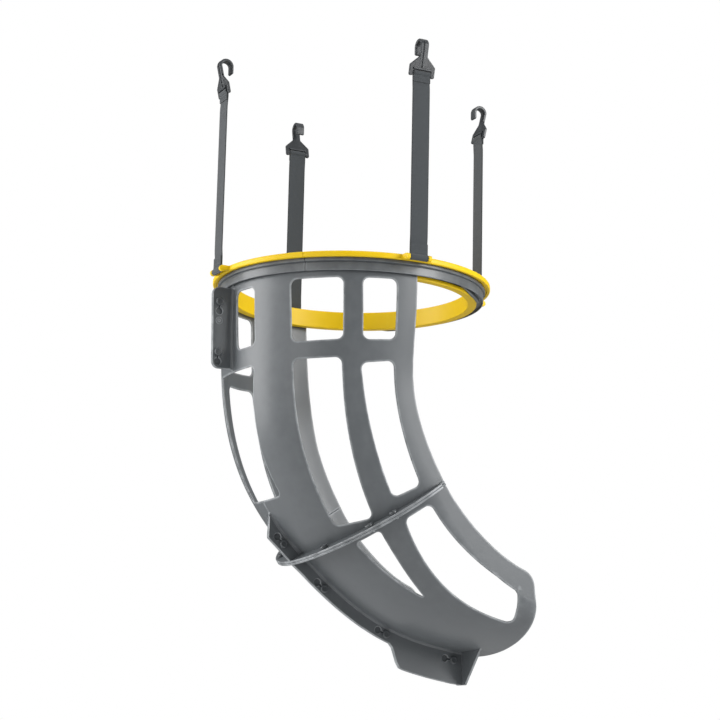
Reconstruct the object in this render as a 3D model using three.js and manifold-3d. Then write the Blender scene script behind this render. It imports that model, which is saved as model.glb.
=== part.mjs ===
// Basketball return chute that hangs under a hoop and turns to any side.
// Millimetres, +Z up. The origin is the middle of the four hook seats, where the part hangs.
// The chute opens towards +X, and its right half is on the -Y side.

import * as THREE from 'three';
import { mergeVertices } from 'three/addons/utils/BufferGeometryUtils.js';
import Module from 'manifold-3d';

const wasm = await Module();
wasm.setup();

// Gaps and cuts
const clearance = 0.3;
const runningGap = 0.8;
const cutOverrun = 12;
const holeOverrun = 3;
const mergeDistance = 1e-4;

// Fixed ring: four quadrants with a channel that opens outwards
const boreRadius = 210;
const rimWidth = 40;
const rimThick = 6;
const rimEdgeRound = 2;
const boreWallThick = 4;
const fixedRingHeight = 33;
const lipThick = 3;
const lipWidth = 15.5;
const dovetailLength = 10;
const dovetailRootWidth = 12;
const dovetailTipWidth = 16;

// Strap ears and bars on the fixed ring
const strapBarOut = 10;
const strapBarDrop = 4.5;
const strapBarRadius = 3;
const earWidth = 7;
const earRound = 5.5;
const earRootDepth = 8;

// Straps
const strapWidth = 32;
const strapThick = 2;
const strapLength = 327;
const strapSideGap = 1.2;
const sewnLength = 24;

// Hooks
const hookBarRadius = 2.4;
const hookPlateThick = 4.5;
const hookEarWidth = 7;
const hookEarDrop = 6;
const hookSlotHeight = 7;
const hookSquareHeight = 13;
const hookShoulderHeight = 29;
const hookStripWidth = 15;
const hookStripThick = 5;
const hookCentreRise = 48.6;
const hookBendRadius = 10.9;
const hookTipLength = 11;
const hookRibWidth = 3;
const hookRibHeight = 2.5;
const hookLipHeight = 3;
const hookLipProud = 1.6;

// Turning ring: four quadrants with a channel that opens downwards
const rimOverhang = 12;
const turningLegThick = 4;
const turningWebThick = 4;
const skirtThick = 7;
const skirtHeight = 22.5;
const skirtRound = 2.5;
const beadProud = 3;
const beadHeight = 4;
const grooveHeight = 1.6;
const grooveDepth = 1.2;
const tongueThick = 4.5;
const tongueDrop = 4.5;
const tongueArc = THREE.MathUtils.degToRad(15);
const tongueRootArc = THREE.MathUtils.degToRad(12);

// Chute: two curves in the middle plane, the keel behind and the free edge in front
const wall = 3.5;
const upperKeelRun = 147;
const upperKeelDrop = 481;
const upperEdgeRun = 71;
const upperEdgeDrop = 363;
const lowerKeelRun = 355;
const lowerKeelDrop = 160;
const lowerEdgeRun = 170;
const lowerEdgeDrop = 145;
const waistHalfWidth = 206;
const outletHalfWidth = 215;
const topRise = 14;
const topSideEase = 0.9;
const waistRise = 15;
const outletRise = 49;
const upperKeelShares = [[0, 0.4], [-0.01, 0.726]];
const upperEdgeShares = [[0.11, 0.455], [-0.17, 0.615]];
const lowerKeelShares = [[0.41, 0.83], [0.61, 0.86]];
const lowerEdgeShares = [[0.21, 0.42], [0.64, 0.885]];
const widthBlendShare = 0.62;
const fullnessPower = 0.2;
const fullnessPeakShare = 0.9;
const outletRound = 26;

// Windows: along the chute from its upper end, and round it from the keel to its side
const windowRound = 11;
const windowStep = 48;
const notchRound = 9;
const sliverRound = 6.6;
const sliverTipRound = 1.5;
const keelSlotShares = {
  along: [0.057, 0.247],
  slant: [0, 0],
  keelSide: [0.05, 0.07],
  edgeSide: [0.2, 0.219],
  swell: [0, 0],
};
const middleSlotShares = {
  along: [0.054, 0.269],
  slant: [0, 0.012],
  keelSide: [0.42, 0.444],
  edgeSide: [0.677, 0.688],
  swell: [0, 0],
};
const sideSlotShares = {
  along: [0.055, 0.29],
  slant: [0, 0.01],
  keelSide: [0.77, 0.782],
  edgeSide: [0.932, 0.938],
  swell: [0, 0],
};
const middleWindowShares = {
  along: [0.335, 0.962],
  slant: [0.02, 0.03],
  keelSide: [0.45, 0.386],
  edgeSide: [0.683, 0.595],
  swell: [0.022, 0.032],
};
const sideWindowShares = {
  along: [0.387, 0.955],
  slant: [0.012, 0.01],
  keelSide: [0.775, 0.745],
  edgeSide: [0.936, 0.912],
  swell: [0.024, 0.012],
};
const notchShares = {
  along: [0.317, 0.783],
  slant: [0, 0],
  keelSide: [-0.06, -0.06],
  edgeSide: [0.214, 0.186],
  swell: [0, -0.019],
};
const sliverShares = {
  along: [0.028, 0.388],
  slant: [0, 0],
  keelSide: [0.42, 0.475],
  edgeSide: [0.579, 0.484],
  swell: [-0.01, 0.003],
};
const outletWindowShares = {
  along: [0.05, 0.875],
  slant: [0.01, -0.04],
  keelSide: [0.735, 0.645],
  edgeSide: [0.912, 1.05],
  swell: [-0.058, -0.035],
};

// Joint flanges of the chute
const flangeThick = 4;
const seamFlangeWidth = 38;
const seamFlangeTop = 34;
const seamFlangeLength = 144;
const seamFlangeRound = 12;
const seamFlangeTaper = 4;
const collarWidth = 26;
const collarTipWidth = 5;
const collarTaperTurnShares = [0.72, 1.25];
const collarTipTurnShares = [1.4, 1.85];
const kiteStartShare = 0.822;
const kiteStraight = 46;
const keelFlangeWidth = 24;
const keelFlangeWide = 58;
const keelStepShares = [0.5, 0.6];
const gussetThick = 4;
const gussetInset = 38;
const gussetReach = 74;
const gussetFootWidth = 16;

// Studs that lock the flanges together
const studShankRadius = 3.5;
const studHeadRadius = 6;
const studHeadHeight = 5;
const studShoulderShare = 0.6;
const studCrownShare = 0.7;
const studFootRadius = 5.5;
const studFootHeight = 2.5;
const keyholePitch = 16.5;
const seamStudDrops = [26.5, 116];
const seamStudOut = 25;
const kiteStud = { share: 0.933, out: 13.5 };
const keelStudSeats = [{ share: 0.124, out: 14.8 }, { share: 0.464, out: 12.5 }, { share: 0.864, out: 16.7 }];
const collarStudTurnShares = [0.27, 0.56, 0.7];
const collarStudSeatShare = 0.55;

// Steps of the curved faces
const ringSegments = 48;
const quarterSegments = ringSegments / 4;
const roundSides = 12;
const outlineSteps = 6;
const panelRows = 12;
const coreRows = 14;
const coreEndShares = [-0.1, 1.1];
const nudgeShare = 1e-3;

// Working values that follow from the sizes above
const quarterTurn = Math.PI / 2;
const rimRadius = boreRadius + rimWidth;
const turningRadius = rimRadius - rimOverhang;
const strapBarAt = rimRadius + strapBarOut;
const seatRise = hookCentreRise + hookBendRadius - hookStripThick / 2;
const strapBarZ = -seatRise - strapLength;
const ringTop = strapBarZ + strapBarDrop;
const earOffset = strapWidth / 2 + strapSideGap;
const lipRadius = boreRadius + lipWidth;
const turningTop = ringTop - rimThick - runningGap;
const turningInnerRadius = boreRadius + boreWallThick + runningGap;
const skirtInnerRadius = turningRadius - skirtThick;
const chuteTopRadius = skirtInnerRadius - clearance;
const chuteTop = turningTop - turningWebThick - clearance;
const lipTop = ringTop - fixedRingHeight + lipThick;

const yellow = new THREE.MeshStandardMaterial({ color: 0xf2d31a, roughness: 0.42, metalness: 0 });
const grey = new THREE.MeshStandardMaterial({ color: 0x6f7376, roughness: 0.5, metalness: 0 });
const chuteGrey = new THREE.MeshStandardMaterial({ color: 0x666a6d, roughness: 0.48, metalness: 0 });
const studGrey = new THREE.MeshStandardMaterial({ color: 0x4b4f52, roughness: 0.5, metalness: 0 });
const webbing = new THREE.MeshStandardMaterial({ color: 0x55595c, roughness: 0.85, metalness: 0 });
const hookGrey = new THREE.MeshStandardMaterial({ color: 0x3b4042, roughness: 0.38, metalness: 0 });

// Solids from closed geometries

function positionsOnly(geometry) {
  const plain = geometry.index ? geometry.toNonIndexed() : geometry.clone();
  plain.deleteAttribute('normal');
  plain.deleteAttribute('uv');
  return mergeVertices(plain, mergeDistance);
}

function signedVolume(geometry) {
  const position = geometry.attributes.position;
  const index = geometry.index.array;
  const a = new THREE.Vector3();
  const b = new THREE.Vector3();
  const c = new THREE.Vector3();
  let volume = 0;
  for (let i = 0; i < index.length; i += 3) {
    a.fromBufferAttribute(position, index[i]);
    b.fromBufferAttribute(position, index[i + 1]);
    c.fromBufferAttribute(position, index[i + 2]);
    volume += a.dot(b.cross(c)) / 6;
  }
  return volume;
}

function solid(geometry) {
  const merged = positionsOnly(geometry);
  const triVerts = Uint32Array.from(merged.index.array);
  if (signedVolume(merged) < 0) {
    for (let i = 0; i < triVerts.length; i += 3) {
      [triVerts[i], triVerts[i + 1]] = [triVerts[i + 1], triVerts[i]];
    }
  }
  const vertProperties = Float32Array.from(merged.attributes.position.array);
  return new wasm.Manifold(new wasm.Mesh({ numProp: 3, vertProperties, triVerts }));
}

function geometryOf(manifold) {
  const mesh = manifold.getMesh();
  const geometry = new THREE.BufferGeometry();
  geometry.setAttribute('position', new THREE.BufferAttribute(Float32Array.from(mesh.vertProperties), 3));
  geometry.setIndex(new THREE.BufferAttribute(Uint32Array.from(mesh.triVerts), 1));
  return geometry;
}

function mirrored(geometry) {
  const flipped = geometry.clone();
  flipped.scale(1, -1, 1);
  const index = flipped.index.array;
  for (let i = 0; i < index.length; i += 3) {
    [index[i], index[i + 1]] = [index[i + 1], index[i]];
  }
  return flipped;
}

const part = new THREE.Group();

function addMesh(name, geometry, material, turn = 0) {
  const mesh = new THREE.Mesh(geometry, material);
  mesh.name = name;
  mesh.rotation.z = turn;
  part.add(mesh);
}

// A plate drawn in the XZ plane, from y = low to y = high
function plateXZ(shape, low, high) {
  const geometry = new THREE.ExtrudeGeometry(shape, {
    depth: high - low,
    bevelEnabled: false,
    curveSegments: outlineSteps,
  });
  geometry.rotateX(quarterTurn);
  geometry.translate(0, high, 0);
  return solid(geometry);
}

function polygon(points) {
  return new THREE.Shape(points.map(([x, y]) => new THREE.Vector2(x, y)));
}

// A ring section given as radius and height pairs, turned about Z
function ring(section) {
  const closed = [...section, section[0]].map(([radius, height]) => new THREE.Vector2(radius, height));
  const geometry = new THREE.LatheGeometry(closed, ringSegments);
  geometry.rotateX(quarterTurn);
  return solid(geometry);
}

// A pie slice about +X that spans the given angles and reaches past every ring
function sector(from, to, low, high) {
  const reach = rimRadius * 2;
  const shape = new THREE.Shape();
  shape.moveTo(0, 0);
  const steps = quarterSegments;
  for (let i = 0; i <= steps; i += 1) {
    const angle = from + (to - from) * i / steps;
    shape.lineTo(reach * Math.cos(angle), reach * Math.sin(angle));
  }
  const geometry = new THREE.ExtrudeGeometry(shape, { depth: high - low, bevelEnabled: false });
  geometry.translate(0, 0, low);
  return solid(geometry);
}

// The quadrant about +X, cut back at both ends by half of the gap between neighbours
function quadrantSlice(low, high) {
  const reach = rimRadius * 2;
  const inset = clearance / 2 * Math.SQRT2;
  const shape = polygon([[inset, 0], [reach + inset, reach], [reach + inset, -reach]]);
  const geometry = new THREE.ExtrudeGeometry(shape, { depth: high - low, bevelEnabled: false });
  geometry.translate(0, 0, low);
  return solid(geometry);
}

// Fixed ring quadrant

function dovetail(grow) {
  const mid = (boreRadius + rimRadius) / 2;
  const root = dovetailRootWidth / 2 + grow;
  const tip = dovetailTipWidth / 2 + grow;
  const shape = polygon([
    [mid - root, -dovetailLength],
    [mid - root, 0],
    [mid - tip, dovetailLength + grow],
    [mid + tip, dovetailLength + grow],
    [mid + root, 0],
    [mid + root, -dovetailLength],
  ]);
  const past = grow > 0 ? cutOverrun : 0;
  const depth = rimThick + past * 2;
  const geometry = new THREE.ExtrudeGeometry(shape, { depth, bevelEnabled: false });
  geometry.translate(0, 0, ringTop - rimThick - past);
  return geometry;
}

function strapEar(side) {
  const shape = new THREE.Shape();
  const root = rimRadius - earRootDepth;
  shape.moveTo(root, ringTop - rimThick);
  shape.lineTo(root, ringTop);
  shape.lineTo(strapBarAt, strapBarZ + earRound);
  shape.absarc(strapBarAt, strapBarZ, earRound, quarterTurn, -quarterTurn, true);
  shape.closePath();
  const near = side > 0 ? earOffset : -earOffset - earWidth;
  return plateXZ(shape, near, near + earWidth);
}

function fixedQuadrant() {
  const bottom = ringTop - fixedRingHeight;
  const wallRadius = boreRadius + boreWallThick;
  let body = ring([
    [boreRadius, bottom + lipThick / 2],
    [boreRadius + lipThick / 2, bottom],
    [lipRadius, bottom],
    [lipRadius, lipTop],
    [wallRadius, lipTop],
    [wallRadius, ringTop - rimThick],
    [rimRadius - rimEdgeRound, ringTop - rimThick],
    [rimRadius, ringTop - rimThick + rimEdgeRound],
    [rimRadius, ringTop - rimEdgeRound],
    [rimRadius - rimEdgeRound, ringTop],
    [boreRadius + rimEdgeRound, ringTop],
    [boreRadius, ringTop - rimEdgeRound],
  ]);
  body = body.intersect(quadrantSlice(bottom - cutOverrun, ringTop + cutOverrun));
  const tenon = dovetail(0);
  tenon.rotateZ(quarterTurn / 2);
  const socket = dovetail(clearance);
  socket.rotateZ(-quarterTurn / 2);
  body = body.add(solid(tenon)).subtract(solid(socket));
  body = body.add(strapEar(1)).add(strapEar(-1));
  const barLength = earOffset * 2 + earWidth;
  const bar = new THREE.CylinderGeometry(strapBarRadius, strapBarRadius, barLength, roundSides);
  bar.translate(strapBarAt, 0, strapBarZ);
  return geometryOf(body.add(solid(bar)));
}

// Turning ring quadrants

function turningSection() {
  const outer = turningRadius;
  const bead = outer + beadProud;
  const beadFoot = turningTop - beadHeight;
  const grooveFoot = beadFoot - grooveHeight;
  const bottom = turningTop - skirtHeight;
  const underWeb = turningTop - turningWebThick;
  const legFoot = lipTop + clearance;
  return [
    [turningInnerRadius, legFoot],
    [turningInnerRadius + turningLegThick, legFoot],
    [turningInnerRadius + turningLegThick, underWeb],
    [skirtInnerRadius, underWeb],
    [skirtInnerRadius, bottom],
    [outer - skirtRound, bottom],
    [outer, bottom + skirtRound],
    [outer, grooveFoot],
    [outer - grooveDepth, grooveFoot + grooveHeight / 2],
    [outer, beadFoot],
    [bead, beadFoot + beadHeight / 4],
    [bead, turningTop - beadHeight / 4],
    [bead - beadHeight / 4, turningTop],
    [turningInnerRadius, turningTop],
  ];
}

function arcBar(inner, outer, low, high, from, to) {
  return ring([[inner, low], [outer, low], [outer, high], [inner, high]])
    .intersect(sector(from, to, low - cutOverrun, high + cutOverrun));
}

// A tongue past one end of a quadrant, which slides into its neighbour's channel
function tongue(side) {
  const seam = quarterTurn / 2;
  const inner = chuteTopRadius - tongueThick;
  const low = turningTop - skirtHeight - tongueDrop;
  const ends = (from, to) => (side > 0 ? [from, to] : [-to, -from]);
  const root = arcBar(
    inner,
    skirtInnerRadius + skirtThick / 2,
    turningTop - skirtHeight + skirtRound,
    turningTop - turningWebThick / 2,
    ...ends(seam - tongueRootArc, seam - clearance / turningRadius),
  );
  const blade = arcBar(
    inner,
    chuteTopRadius,
    low,
    turningTop - turningWebThick - clearance,
    ...ends(seam - tongueRootArc, seam + tongueArc),
  );
  return root.add(blade);
}

function turningQuadrant(tongueSides) {
  const low = lipTop - cutOverrun;
  const high = turningTop + cutOverrun;
  let body = ring(turningSection()).intersect(quadrantSlice(low, high));
  for (const side of tongueSides) {
    body = body.add(tongue(side));
  }
  return geometryOf(body);
}

// Chute surface

function curve(start, run, drop, shares) {
  const points = [[0, 0], ...shares, [1, 1]];
  return new THREE.CubicBezierCurve(
    ...points.map(([along, down]) => new THREE.Vector2(start.x + along * run, start.y - down * drop)),
  );
}

const upperKeelStart = new THREE.Vector2(-chuteTopRadius, chuteTop);
const upperEdgeStart = new THREE.Vector2(topRise, chuteTop);
const upperKeel = curve(upperKeelStart, upperKeelRun, upperKeelDrop, upperKeelShares);
const upperEdge = curve(upperEdgeStart, upperEdgeRun, upperEdgeDrop, upperEdgeShares);
const lowerKeel = curve(upperKeel.v3, lowerKeelRun, lowerKeelDrop, lowerKeelShares);
const lowerEdge = curve(upperEdge.v3, lowerEdgeRun, lowerEdgeDrop, lowerEdgeShares);

const upperRun = {
  keel: upperKeel,
  edge: upperEdge,
  rise: (along) => THREE.MathUtils.lerp(topRise, waistRise, along),
  halfWidth(along) {
    const blend = 0.5 + 0.5 * Math.cos(Math.PI * Math.min(1, along / widthBlendShare));
    return THREE.MathUtils.lerp(waistHalfWidth, chuteTopRadius - topSideEase, blend);
  },
  fullness(along) {
    const share = THREE.MathUtils.clamp(along, 0, 1) ** fullnessPeakShare;
    return 2 + fullnessPower * Math.sin(Math.PI * share) ** 2;
  },
};
const lowerRun = {
  keel: lowerKeel,
  edge: lowerEdge,
  rise: (along) => THREE.MathUtils.lerp(waistRise, outletRise, along),
  halfWidth: (along) => THREE.MathUtils.lerp(waistHalfWidth, outletHalfWidth, along),
  fullness: () => 2,
};

// How far a section stands out from a plain ellipse: the higher the power, the fuller its corners
function sectionSwell(angle, power) {
  return (Math.abs(Math.cos(angle)) ** power + Math.abs(Math.sin(angle)) ** power) ** (-1 / power);
}

// A point of the outer face: along the run, and round from the keel (0) to the side (1)
// and on up the straight rim to the free edge (2)
function facePoint(run, along, turn) {
  const keel = run.keel.getPoint(along);
  const edge = run.edge.getPoint(along);
  const down = keel.clone().sub(edge);
  const depth = down.length();
  down.divideScalar(depth);
  const rise = run.rise(along);
  const angle = Math.min(turn, 1) * quarterTurn;
  const swell = sectionSwell(angle, run.fullness(along));
  const reach = rise + (depth - rise) * swell * Math.cos(angle) - Math.max(turn - 1, 0) * rise;
  const across = -run.halfWidth(along) * swell * Math.sin(angle);
  return new THREE.Vector3(edge.x + down.x * reach, across, edge.y + down.y * reach);
}

function faceNormal(run, along, turn) {
  const forward = facePoint(run, along + nudgeShare, turn).sub(facePoint(run, along - nudgeShare, turn));
  const round = facePoint(run, along, turn + nudgeShare).sub(facePoint(run, along, turn - nudgeShare));
  return forward.cross(round).normalize();
}

function skinPoint(run, along, turn, depth) {
  return facePoint(run, along, turn).addScaledVector(faceNormal(run, along, turn), -depth);
}

// A closed block between two grids of points with the same rows and columns
function blockBetween(outer, inner) {
  const rows = outer.length;
  const columns = outer[0].length;
  const positions = [];
  const quad = (a, b, c, d) => {
    for (const point of [a, b, c, a, c, d]) {
      positions.push(point.x, point.y, point.z);
    }
  };
  for (let i = 0; i + 1 < rows; i += 1) {
    for (let j = 0; j + 1 < columns; j += 1) {
      quad(outer[i][j], outer[i][j + 1], outer[i + 1][j + 1], outer[i + 1][j]);
      quad(inner[i][j], inner[i + 1][j], inner[i + 1][j + 1], inner[i][j + 1]);
    }
  }
  for (let i = 0; i + 1 < rows; i += 1) {
    quad(outer[i][0], outer[i + 1][0], inner[i + 1][0], inner[i][0]);
    const last = columns - 1;
    quad(outer[i + 1][last], outer[i][last], inner[i][last], inner[i + 1][last]);
  }
  for (let j = 0; j + 1 < columns; j += 1) {
    quad(outer[0][j + 1], outer[0][j], inner[0][j], inner[0][j + 1]);
    const last = rows - 1;
    quad(outer[last][j], outer[last][j + 1], inner[last][j + 1], inner[last][j]);
  }
  const geometry = new THREE.BufferGeometry();
  geometry.setAttribute('position', new THREE.Float32BufferAttribute(positions, 3));
  return solid(geometry);
}

function evenShares(from, to, steps) {
  return Array.from({ length: steps + 1 }, (_, i) => from + (to - from) * i / steps);
}

const shellTurns = [...evenShares(0, 1, quarterSegments), 2];

function shell(run) {
  const alongs = evenShares(0, 1, panelRows);
  const grid = (depth) => alongs.map((along) => shellTurns.map((turn) => skinPoint(run, along, turn, depth)));
  return blockBetween(grid(0), grid(wall));
}

// The room inside the chute out to the middle of its wall, on both sides of the keel
function core(run) {
  const alongs = evenShares(...coreEndShares, coreRows);
  const turns = [...shellTurns].reverse();
  const section = (along) => {
    const right = turns.map((turn) => skinPoint(run, along, turn, wall / 2));
    const left = right.slice(0, -1).reverse().map((point) => new THREE.Vector3(point.x, -point.y, point.z));
    return [...right, ...left];
  };
  const lower = alongs.map(section);
  const lid = lower.map((points) => {
    const first = points[0];
    return points.map((point) => new THREE.Vector3(first.x, point.y, first.z));
  });
  const raised = lid.map((points, i) => points.map((point) => {
    const edge = run.edge.getPoint(alongs[i]);
    const keel = run.keel.getPoint(alongs[i]);
    const up = edge.sub(keel).normalize().multiplyScalar(cutOverrun);
    return new THREE.Vector3(point.x + up.x, point.y, point.z + up.y);
  }));
  return blockBetween(lower, raised);
}

function lineLength(run, from, to, turn) {
  const points = evenShares(from, to, panelRows).map((along) => facePoint(run, along, turn));
  return points.slice(1).reduce((length, point, i) => length + point.distanceTo(points[i]), 0);
}

function turnLength(run, along) {
  const depth = run.keel.getPoint(along).distanceTo(run.edge.getPoint(along)) - run.rise(along);
  return quarterTurn * (depth + run.halfWidth(along)) / 2;
}

// A cutter that follows the surface: four sides, the corners rounded
function windowCutter(run, shares, startRound, endRound = startRound) {
  const [from, to] = shares.along;
  const middle = (shares.keelSide[0] + shares.edgeSide[0]) / 2;
  const length = lineLength(run, from, to, middle);
  const steps = Math.ceil(length / windowStep);
  const cornerSteps = 2;
  const places = [];
  for (let i = 0; i <= cornerSteps; i += 1) {
    const angle = quarterTurn * i / cornerSteps;
    places.push([startRound * (1 - Math.cos(angle)), startRound * (1 - Math.sin(angle))]);
  }
  for (let i = 1; i < steps; i += 1) {
    places.push([startRound + (length - startRound - endRound) * i / steps, 0]);
  }
  for (let i = cornerSteps; i >= 0; i -= 1) {
    const angle = quarterTurn * i / cornerSteps;
    places.push([length - endRound * (1 - Math.cos(angle)), endRound * (1 - Math.sin(angle))]);
  }
  const across = evenShares(0, 1, 2);
  const grid = (depth) => places.map(([distance, inset]) => {
    const share = distance / length;
    const along = from + (to - from) * share;
    const bow = 4 * share * (1 - share);
    const insetShare = inset / turnLength(run, along);
    const keelSide = THREE.MathUtils.lerp(...shares.keelSide, share) + shares.swell[0] * bow + insetShare;
    const edgeSide = THREE.MathUtils.lerp(...shares.edgeSide, share) + shares.swell[1] * bow - insetShare;
    const slant = THREE.MathUtils.lerp(...shares.slant, share);
    return across.map((part) => skinPoint(
      run,
      along + slant * (part - 0.5),
      THREE.MathUtils.lerp(keelSide, edgeSide, part),
      depth,
    ));
  });
  return blockBetween(grid(-cutOverrun), grid(wall + cutOverrun));
}

// Chute flanges

const collarDown = upperKeel.v3.clone().sub(upperEdge.v3).normalize();
const collarNormal = new THREE.Vector2(-collarDown.y, collarDown.x);
const collarAngle = Math.atan2(collarDown.y, collarDown.x);

// Moves a geometry drawn with x down the section and y across it into the collar's plane
function toCollar(geometry, shift) {
  geometry.rotateX(Math.PI);
  geometry.rotateY(-collarAngle);
  const at = upperEdge.v3.clone().addScaledVector(collarNormal, shift);
  geometry.translate(at.x, 0, at.y);
  return geometry;
}

// The collar's middle line: outside the section by a share of the collar's width
function collarPoint(turn, out) {
  const depth = upperKeel.v3.distanceTo(upperEdge.v3) - waistRise;
  const angle = Math.min(turn, 1) * quarterTurn;
  const normal = new THREE.Vector2(Math.cos(angle) / depth, Math.sin(angle) / waistHalfWidth).normalize();
  const down = waistRise + depth * Math.cos(angle) - Math.max(turn - 1, 0) * waistRise;
  return [down + normal.x * out, waistHalfWidth * Math.sin(angle) + normal.y * out];
}

function collarWidthAt(turn) {
  const taper = THREE.MathUtils.smoothstep(turn, ...collarTaperTurnShares);
  return THREE.MathUtils.lerp(collarWidth, collarTipWidth, taper);
}

function collarPlate(side) {
  const turns = [...evenShares(0, 1, quarterSegments), ...collarTipTurnShares];
  const outside = turns.map((turn) => collarPoint(turn, collarWidthAt(turn)));
  const inside = [...turns].reverse().map((turn) => collarPoint(turn, -wall / 2));
  const geometry = new THREE.ExtrudeGeometry(polygon([...outside, ...inside]), {
    depth: flangeThick,
    bevelEnabled: false,
  });
  const shift = side * (clearance / 2) + (side > 0 ? flangeThick : 0);
  return solid(toCollar(geometry, shift));
}

// The half space before or past the collar's middle plane, as a big block
function collarBlock(side) {
  const size = upperKeelDrop * 4;
  const block = new THREE.BoxGeometry(size, size, size);
  const reach = size / 2 + clearance / 2;
  block.rotateY(-collarAngle);
  block.translate(
    upperEdge.v3.x + collarNormal.x * reach * side,
    0,
    upperEdge.v3.y + collarNormal.y * reach * side,
  );
  return solid(block);
}

function rightSideBlock() {
  const size = upperKeelDrop * 4;
  const block = new THREE.BoxGeometry(size, size, size);
  block.translate(0, -size / 2 - clearance / 2, -size / 4);
  return solid(block);
}

function seamFlange() {
  const top = ringTop - seamFlangeTop;
  const bottom = top - seamFlangeLength;
  const outer = -chuteTopRadius - seamFlangeWidth;
  const inner = -chuteTopRadius + seamFlangeWidth;
  const low = outer + seamFlangeTaper;
  const shape = new THREE.Shape();
  shape.moveTo(inner, top);
  shape.lineTo(outer + seamFlangeRound, top);
  shape.quadraticCurveTo(outer, top, outer, top - seamFlangeRound);
  shape.lineTo(low, bottom + seamFlangeRound);
  shape.quadraticCurveTo(low, bottom, low + seamFlangeRound, bottom);
  shape.lineTo(inner, bottom);
  return shape;
}

function collarKeelPoint(out) {
  return [upperKeel.v3.x + collarDown.x * out, upperKeel.v3.y + collarDown.y * out];
}

function kiteFlange() {
  const start = upperKeel.getPoint(kiteStartShare);
  return polygon([
    [start.x, start.y],
    [start.x, start.y - kiteStraight],
    collarKeelPoint(collarWidth),
    collarKeelPoint(-collarWidth),
    [start.x + collarWidth, start.y],
  ]);
}

// Width of the lower keel flange: narrow, then a step to wide
function keelFlangeWidthAt(along) {
  const step = THREE.MathUtils.smoothstep(along, ...keelStepShares);
  return THREE.MathUtils.lerp(keelFlangeWidth, keelFlangeWide, step);
}

function outsideKeel(keel, share, out) {
  const tangent = keel.getTangent(share);
  return keel.getPoint(share).addScaledVector(new THREE.Vector2(tangent.y, -tangent.x), out);
}

const gussetAlong = 1 - gussetInset / lowerKeel.getLength();
const gussetRoot = lowerKeel.getPoint(gussetAlong);

function keelFlange() {
  const [stepStart, stepEnd] = keelStepShares;
  const alongs = [
    ...evenShares(0, stepStart, 5),
    ...evenShares(stepStart, stepEnd, 4).slice(1),
    ...evenShares(stepEnd, gussetAlong, 4).slice(1),
  ];
  const outside = alongs.map((along) => {
    const point = outsideKeel(lowerKeel, along, keelFlangeWidthAt(along));
    return [point.x, point.y];
  });
  const inside = [...alongs].reverse().map((along) => {
    const point = outsideKeel(lowerKeel, along, -wall * 2);
    return [point.x, point.y];
  });
  outside[0] = collarKeelPoint(collarWidth);
  outside[outside.length - 1] = [gussetRoot.x, gussetRoot.y - keelFlangeWide];
  return polygon([...outside, ...inside]);
}

// A three-cornered end wall between the keel flange and the trough
function gusset() {
  const foot = gussetRoot.y - keelFlangeWide;
  const shape = polygon([
    [clearance / 2, foot],
    [gussetFootWidth, foot],
    [gussetReach, gussetRoot.y + wall * 2],
    [gussetReach, gussetRoot.y + gussetFootWidth],
    [clearance / 2, gussetRoot.y + wall],
  ]);
  const geometry = new THREE.ExtrudeGeometry(shape, { depth: gussetThick, bevelEnabled: false });
  geometry.rotateX(quarterTurn);
  geometry.rotateZ(-quarterTurn);
  geometry.translate(gussetRoot.x, 0, 0);
  return solid(geometry);
}

// Studs

// Drawn along +Y with its foot below the origin
function studGeometry() {
  const grip = flangeThick * 2 + clearance;
  const shape = [
    [0, -clearance - studFootHeight],
    [studFootRadius, -clearance - studFootHeight],
    [studFootRadius, -clearance],
    [studShankRadius, -clearance],
    [studShankRadius, grip + clearance],
    [studHeadRadius, grip + clearance],
    [studHeadRadius, grip + clearance + studHeadHeight * studShoulderShare],
    [studHeadRadius * studCrownShare, grip + clearance + studHeadHeight],
    [0, grip + clearance + studHeadHeight],
  ].map(([radius, height]) => new THREE.Vector2(radius, height));
  return new THREE.LatheGeometry(shape, roundSides);
}

// A stud that stands on the left flange's far face, its head on the right side
function seamStud(at) {
  const geometry = studGeometry();
  geometry.rotateX(Math.PI);
  geometry.translate(at.x, flangeThick + clearance / 2, at.y);
  return geometryOf(solid(geometry));
}

function holeAcross(start, radius, low, high) {
  const geometry = new THREE.CylinderGeometry(radius, radius, high - low, roundSides);
  geometry.translate(start.x, (low + high) / 2, start.y);
  return solid(geometry);
}

const seamStudPoints = seamStudDrops.map((drop) => new THREE.Vector2(
  -chuteTopRadius - seamStudOut,
  ringTop - seamFlangeTop - drop,
));
const kiteStudPoint = outsideKeel(upperKeel, kiteStud.share, kiteStud.out);
const keelStudPoints = keelStudSeats.map((seat) => outsideKeel(lowerKeel, seat.share, seat.out));

// Each keyhole: the narrow end holds the stud, the wide end lies towards the given side
function keyhole(start, towards) {
  const low = -flangeThick - holeOverrun;
  const wide = start.clone().addScaledVector(towards, keyholePitch);
  const narrow = holeAcross(start, studShankRadius + clearance, low, 0);
  const entry = holeAcross(wide, studHeadRadius - clearance, low, 0);
  const length = start.distanceTo(wide);
  const slot = new THREE.BoxGeometry(length, -low, studShankRadius);
  slot.rotateY(-Math.atan2(wide.y - start.y, wide.x - start.x));
  slot.translate((start.x + wide.x) / 2, low / 2, (start.y + wide.y) / 2);
  return narrow.add(entry).add(solid(slot));
}

const upperCore = core(upperRun);
const lowerCore = core(lowerRun);
const rightSide = rightSideBlock();

function drill(body, points, radius) {
  let drilled = body;
  for (const point of points) {
    drilled = drilled.subtract(holeAcross(point, radius, -flangeThick - holeOverrun, 0));
  }
  return drilled;
}

function collarStudPlaces() {
  return collarStudTurnShares.map((turn) => collarPoint(turn, collarWidthAt(turn) * collarStudSeatShare));
}

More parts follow.
